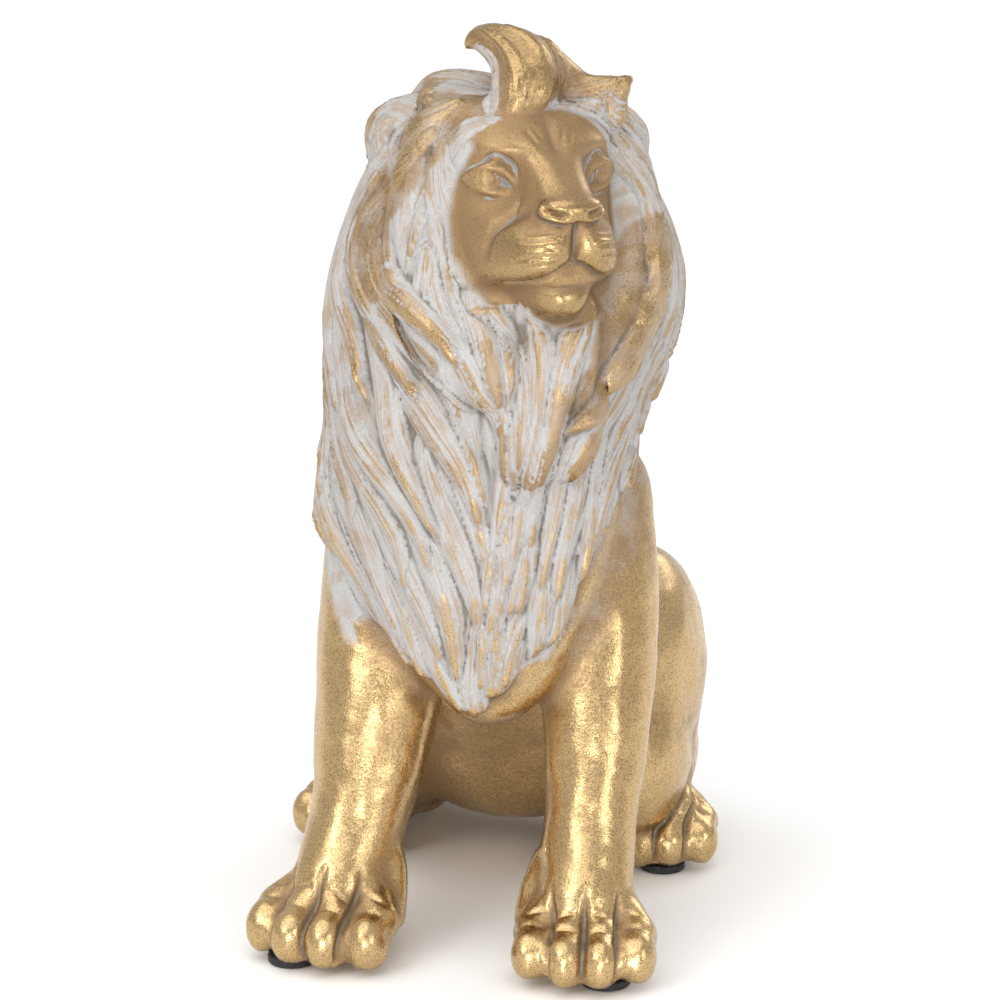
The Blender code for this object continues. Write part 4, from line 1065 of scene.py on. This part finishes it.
def cast_finish():
    """Gold leaf over tan size, white wash brushed into the hair, dark wax and painted shade in the deepest
    lines.
    """
    f = Finish("gold_leaf_and_wash")
    place = f.node("ShaderNodeTexCoord", {}).outputs["Object"]
    upper = f.ramp(f.node("ShaderNodeSeparateXYZ", {0: place}).outputs[2], UPPER_START, UPPER_END)
    hair_share, paint, fine = f.measure("hair"), f.measure("paint"), f.measure("fine")
    broad, eye, haze = f.measure("broad"), f.measure("eye"), f.measure("haze")
    flow = f.measure("flow", "Vector")
    grain = f.noise(place, GRAIN, 2.0)
    fleck = f.noise(place, FLECK, 3.0, 0.7)
    blotch = f.noise(place, BLOTCH, 4.0)
    cloud = f.noise(place, CLOUD, 3.0)
    hair_way = f.node("ShaderNodeVectorMath", {0: flow, 1: STREAK_STRETCH}, operation="MULTIPLY")
    streak = f.noise(hair_way.outputs[0], 1.0, 4.0, 0.65)

    # White wash: on the hair, wiped off its ridges, and a little in the ears and round the eyes
    worn = f.times(f.ramp(fine, 0.08, 0.2), f.ramp(f.plus(streak, blotch), 0.85, 1.1))
    edge = f.times(f.ramp(broad, 0.65, 1.35), 0.7)
    brush = f.scaled(streak, 1.1, -0.55)
    patch = f.scaled(blotch, 1.2, -0.6)
    coat = f.times(hair_share, f.plus(paint, 0.12))
    coat = f.plus(f.plus(coat, f.times(brush, hair_share)), f.times(patch, 0.5))
    coat = f.maths("SUBTRACT", f.maths("SUBTRACT", coat, worn), edge)
    lids_wash = f.times(f.ramp(eye, 18.0, 9.0), f.ramp(fine, -0.13, -0.3))
    dusty = f.times(haze, f.scaled(blotch, 1.3, -0.25))
    dusty = f.plus(dusty, f.scaled(grain, 0.5, -0.3))
    coat = f.maths("MAXIMUM", coat, f.times(dusty, 0.75))
    wash = f.ramp(f.maths("MAXIMUM", coat, f.times(lids_wash, 0.7)), 0.12, 0.62)

    # Gold: satin tan where the leaf is thin and as painted shade in the hollows, bright on swellings, duller
    # above the legs
    bright = f.plus(f.ramp(broad, -0.5, 0.7), f.scaled(cloud, 1.6, -0.8))
    bright = f.plus(bright, f.scaled(fleck, 1.2, -0.6))
    # More leaf low down: partly shinier leaf, partly painted light from the floor
    bright = f.plus(bright, f.scaled(upper, -0.45, 0.3))
    leaf = f.times(f.ramp(bright, 0.1, 0.95), f.ramp(eye, 9.0, 17.0, 0.45, 1.0))
    gold = f.blend(leaf, TAN, f.blend(upper, GOLD_LOWER_AND_FLOOR_LIGHT, GOLD_UPPER))
    gold = f.blend(f.ramp(grain, 0.28, 0.56), GOLD_PORES, gold)
    tinge = f.plus(f.times(blotch, 0.6), f.plus(streak, f.times(fine, 0.6)))
    white = f.blend(f.ramp(tinge, 0.74, 1.0), WASH_WHITE, WASH_TAN)
    white = f.blend(f.ramp(grain, 0.3, 0.6), WASH_PORES, white)

    # Both together, with dark wax and painted shade in the deepest lines
    colour = f.blend(wash, gold, white)
    dark = f.times(f.ramp(f.plus(fine, f.times(broad, 0.25)), -0.1, -0.65), 0.8)
    colour = f.blend(dark, colour, WAX_AND_GROOVE_SHADE)
    f.feed(f.shader.inputs["Base Color"], colour)
    f.feed(f.shader.inputs["Metallic"], f.times(f.maths("SUBTRACT", 1.0, wash),
                                                f.ramp(leaf, 0.0, 1.0, 0.62, 0.97)))
    gold_rough = f.plus(f.ramp(leaf, 0.0, 1.0, THIN_ROUGHNESS, LEAF_ROUGHNESS), f.scaled(fleck, 0.4, -0.2))
    rough_all = f.node("ShaderNodeMix", {0: wash, 2: gold_rough, 3: WASH_ROUGHNESS}).outputs[0]
    f.feed(f.shader.inputs["Roughness"], rough_all)
    height = f.plus(f.times(grain, GRAIN_HEIGHT), f.times(fleck, FLECK_HEIGHT))
    height = f.plus(height, f.times(f.times(streak, hair_share), STREAK_HEIGHT))
    bump = f.node("ShaderNodeBump", {"Strength": 0.8, "Distance": 1.0, "Height": height})
    f.feed(f.shader.inputs["Normal"], bump.outputs["Normal"])
    return f.material


def rubber_finish():
    f = Finish("black_rubber_foot")
    place = f.node("ShaderNodeTexCoord", {}).outputs["Object"]
    grain = f.noise(place, GRAIN, 2.0)
    dust = f.ramp(f.noise(place, DUST, 4.0), 0.45, 0.75)
    f.feed(f.shader.inputs["Base Color"], f.blend(dust, RUBBER, RUBBER_DUST))
    f.feed(f.shader.inputs["Roughness"], f.ramp(dust, 0.0, 1.0, 0.62, 0.85))
    height = f.times(grain, RUBBER_GRAIN_HEIGHT)
    bump = f.node("ShaderNodeBump", {"Strength": 0.5, "Distance": 1.0, "Height": height})
    f.feed(f.shader.inputs["Normal"], bump.outputs["Normal"])
    return f.material


# Lamps: name, place and side in metres, and power in watts. All of them point at this place
LAMP_TARGET = (0, 0, 0.11)
LAMPS = (
    ("key", (-0.6, -1.1, 0.75), 0.4, 3.0),
    ("fill", (0.9, -0.9, 0.4), 0.35, 2.0),
    ("low", (0.1, -1.1, 0.1), 0.3, 3.0),
    ("bounce", (0.05, -0.42, 0.03), 0.22, 0.13),
    ("rim", (0.7, 1.0, 0.8), 0.6, 3.0),
)

# Camera: place in modelling units, rise and turn in degrees
CAMERA_PLACE = (138.0, -779.5, 288.6)
CAMERA_RISE = 13
CAMERA_TURN = 10


def studio_floor():
    """A pale floor just under the pads."""
    bpy.ops.mesh.primitive_plane_add(size=40, location=(0, 0, -0.0002))
    floor = bpy.context.object
    floor.name = "studio_floor"
    f = Finish("pale_floor")
    f.shader.inputs["Base Color"].default_value = (0.93, 0.93, 0.93, 1)
    f.shader.inputs["Roughness"].default_value = 0.75
    floor.data.materials.append(f.material)


def aimed(name, lamp, place):
    """Puts a lamp in its place, pointing at the figure."""
    obj = placed(name, lamp)
    obj.location = place
    obj.rotation_euler = (Vector(LAMP_TARGET) - Vector(place)).to_track_quat("-Z", "Y").to_euler()


def studio_lights():
    """Key, fill and low lamps in front, a weak bounce, a rim behind, a wide sun and a white sky."""
    for name, place, size, power in LAMPS:
        lamp = bpy.data.lights.new(name, "AREA")
        lamp.size = size
        lamp.energy = power
        aimed(name, lamp, place)
    sun = bpy.data.lights.new("ceiling", "SUN")
    sun.energy = 1.35
    sun.angle = math.radians(70)
    aimed("ceiling", sun, (-0.35, -0.6, 1.6))
    world = bpy.data.worlds.new("studio")
    world.use_nodes = True
    sky = world.node_tree.nodes["Background"]
    sky.inputs["Color"].default_value = (1, 1, 1, 1)
    sky.inputs["Strength"].default_value = 0.74
    bpy.context.scene.world = world


def camera(unit, middle, underside):
    """The photograph's view: round to the lion's left of its front and a little above it."""
    lens = bpy.data.cameras.new("camera")
    lens.sensor_width = 36
    lens.lens = 116.1
    lens.clip_end = 50
    x, y, z = CAMERA_PLACE
    place = Vector(((x - middle[0]) * unit, (y - middle[1]) * unit, (z - SOLE) * unit + underside))
    obj = placed("camera", lens)
    obj.location = place
    obj.rotation_euler = (math.radians(90 - CAMERA_RISE), 0, math.radians(CAMERA_TURN))
    bpy.context.scene.camera = obj


bpy.context.scene.view_settings.view_transform = "Standard"
lion = cast_mesh()
unit, middle, underside = into_frame(lion)
lion.shade_smooth()
lion.materials.clear()
lion.materials.append(cast_finish())
piece = placed("lion_cast", lion)
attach(piece, "root")
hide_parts("lion")
rubber = rubber_finish()
for name in PAD_PLACES:
    pad = frame["nodes"][name]
    for slot in pad.material_slots:
        slot.material = rubber
studio_floor()
studio_lights()
camera(unit, middle, underside)
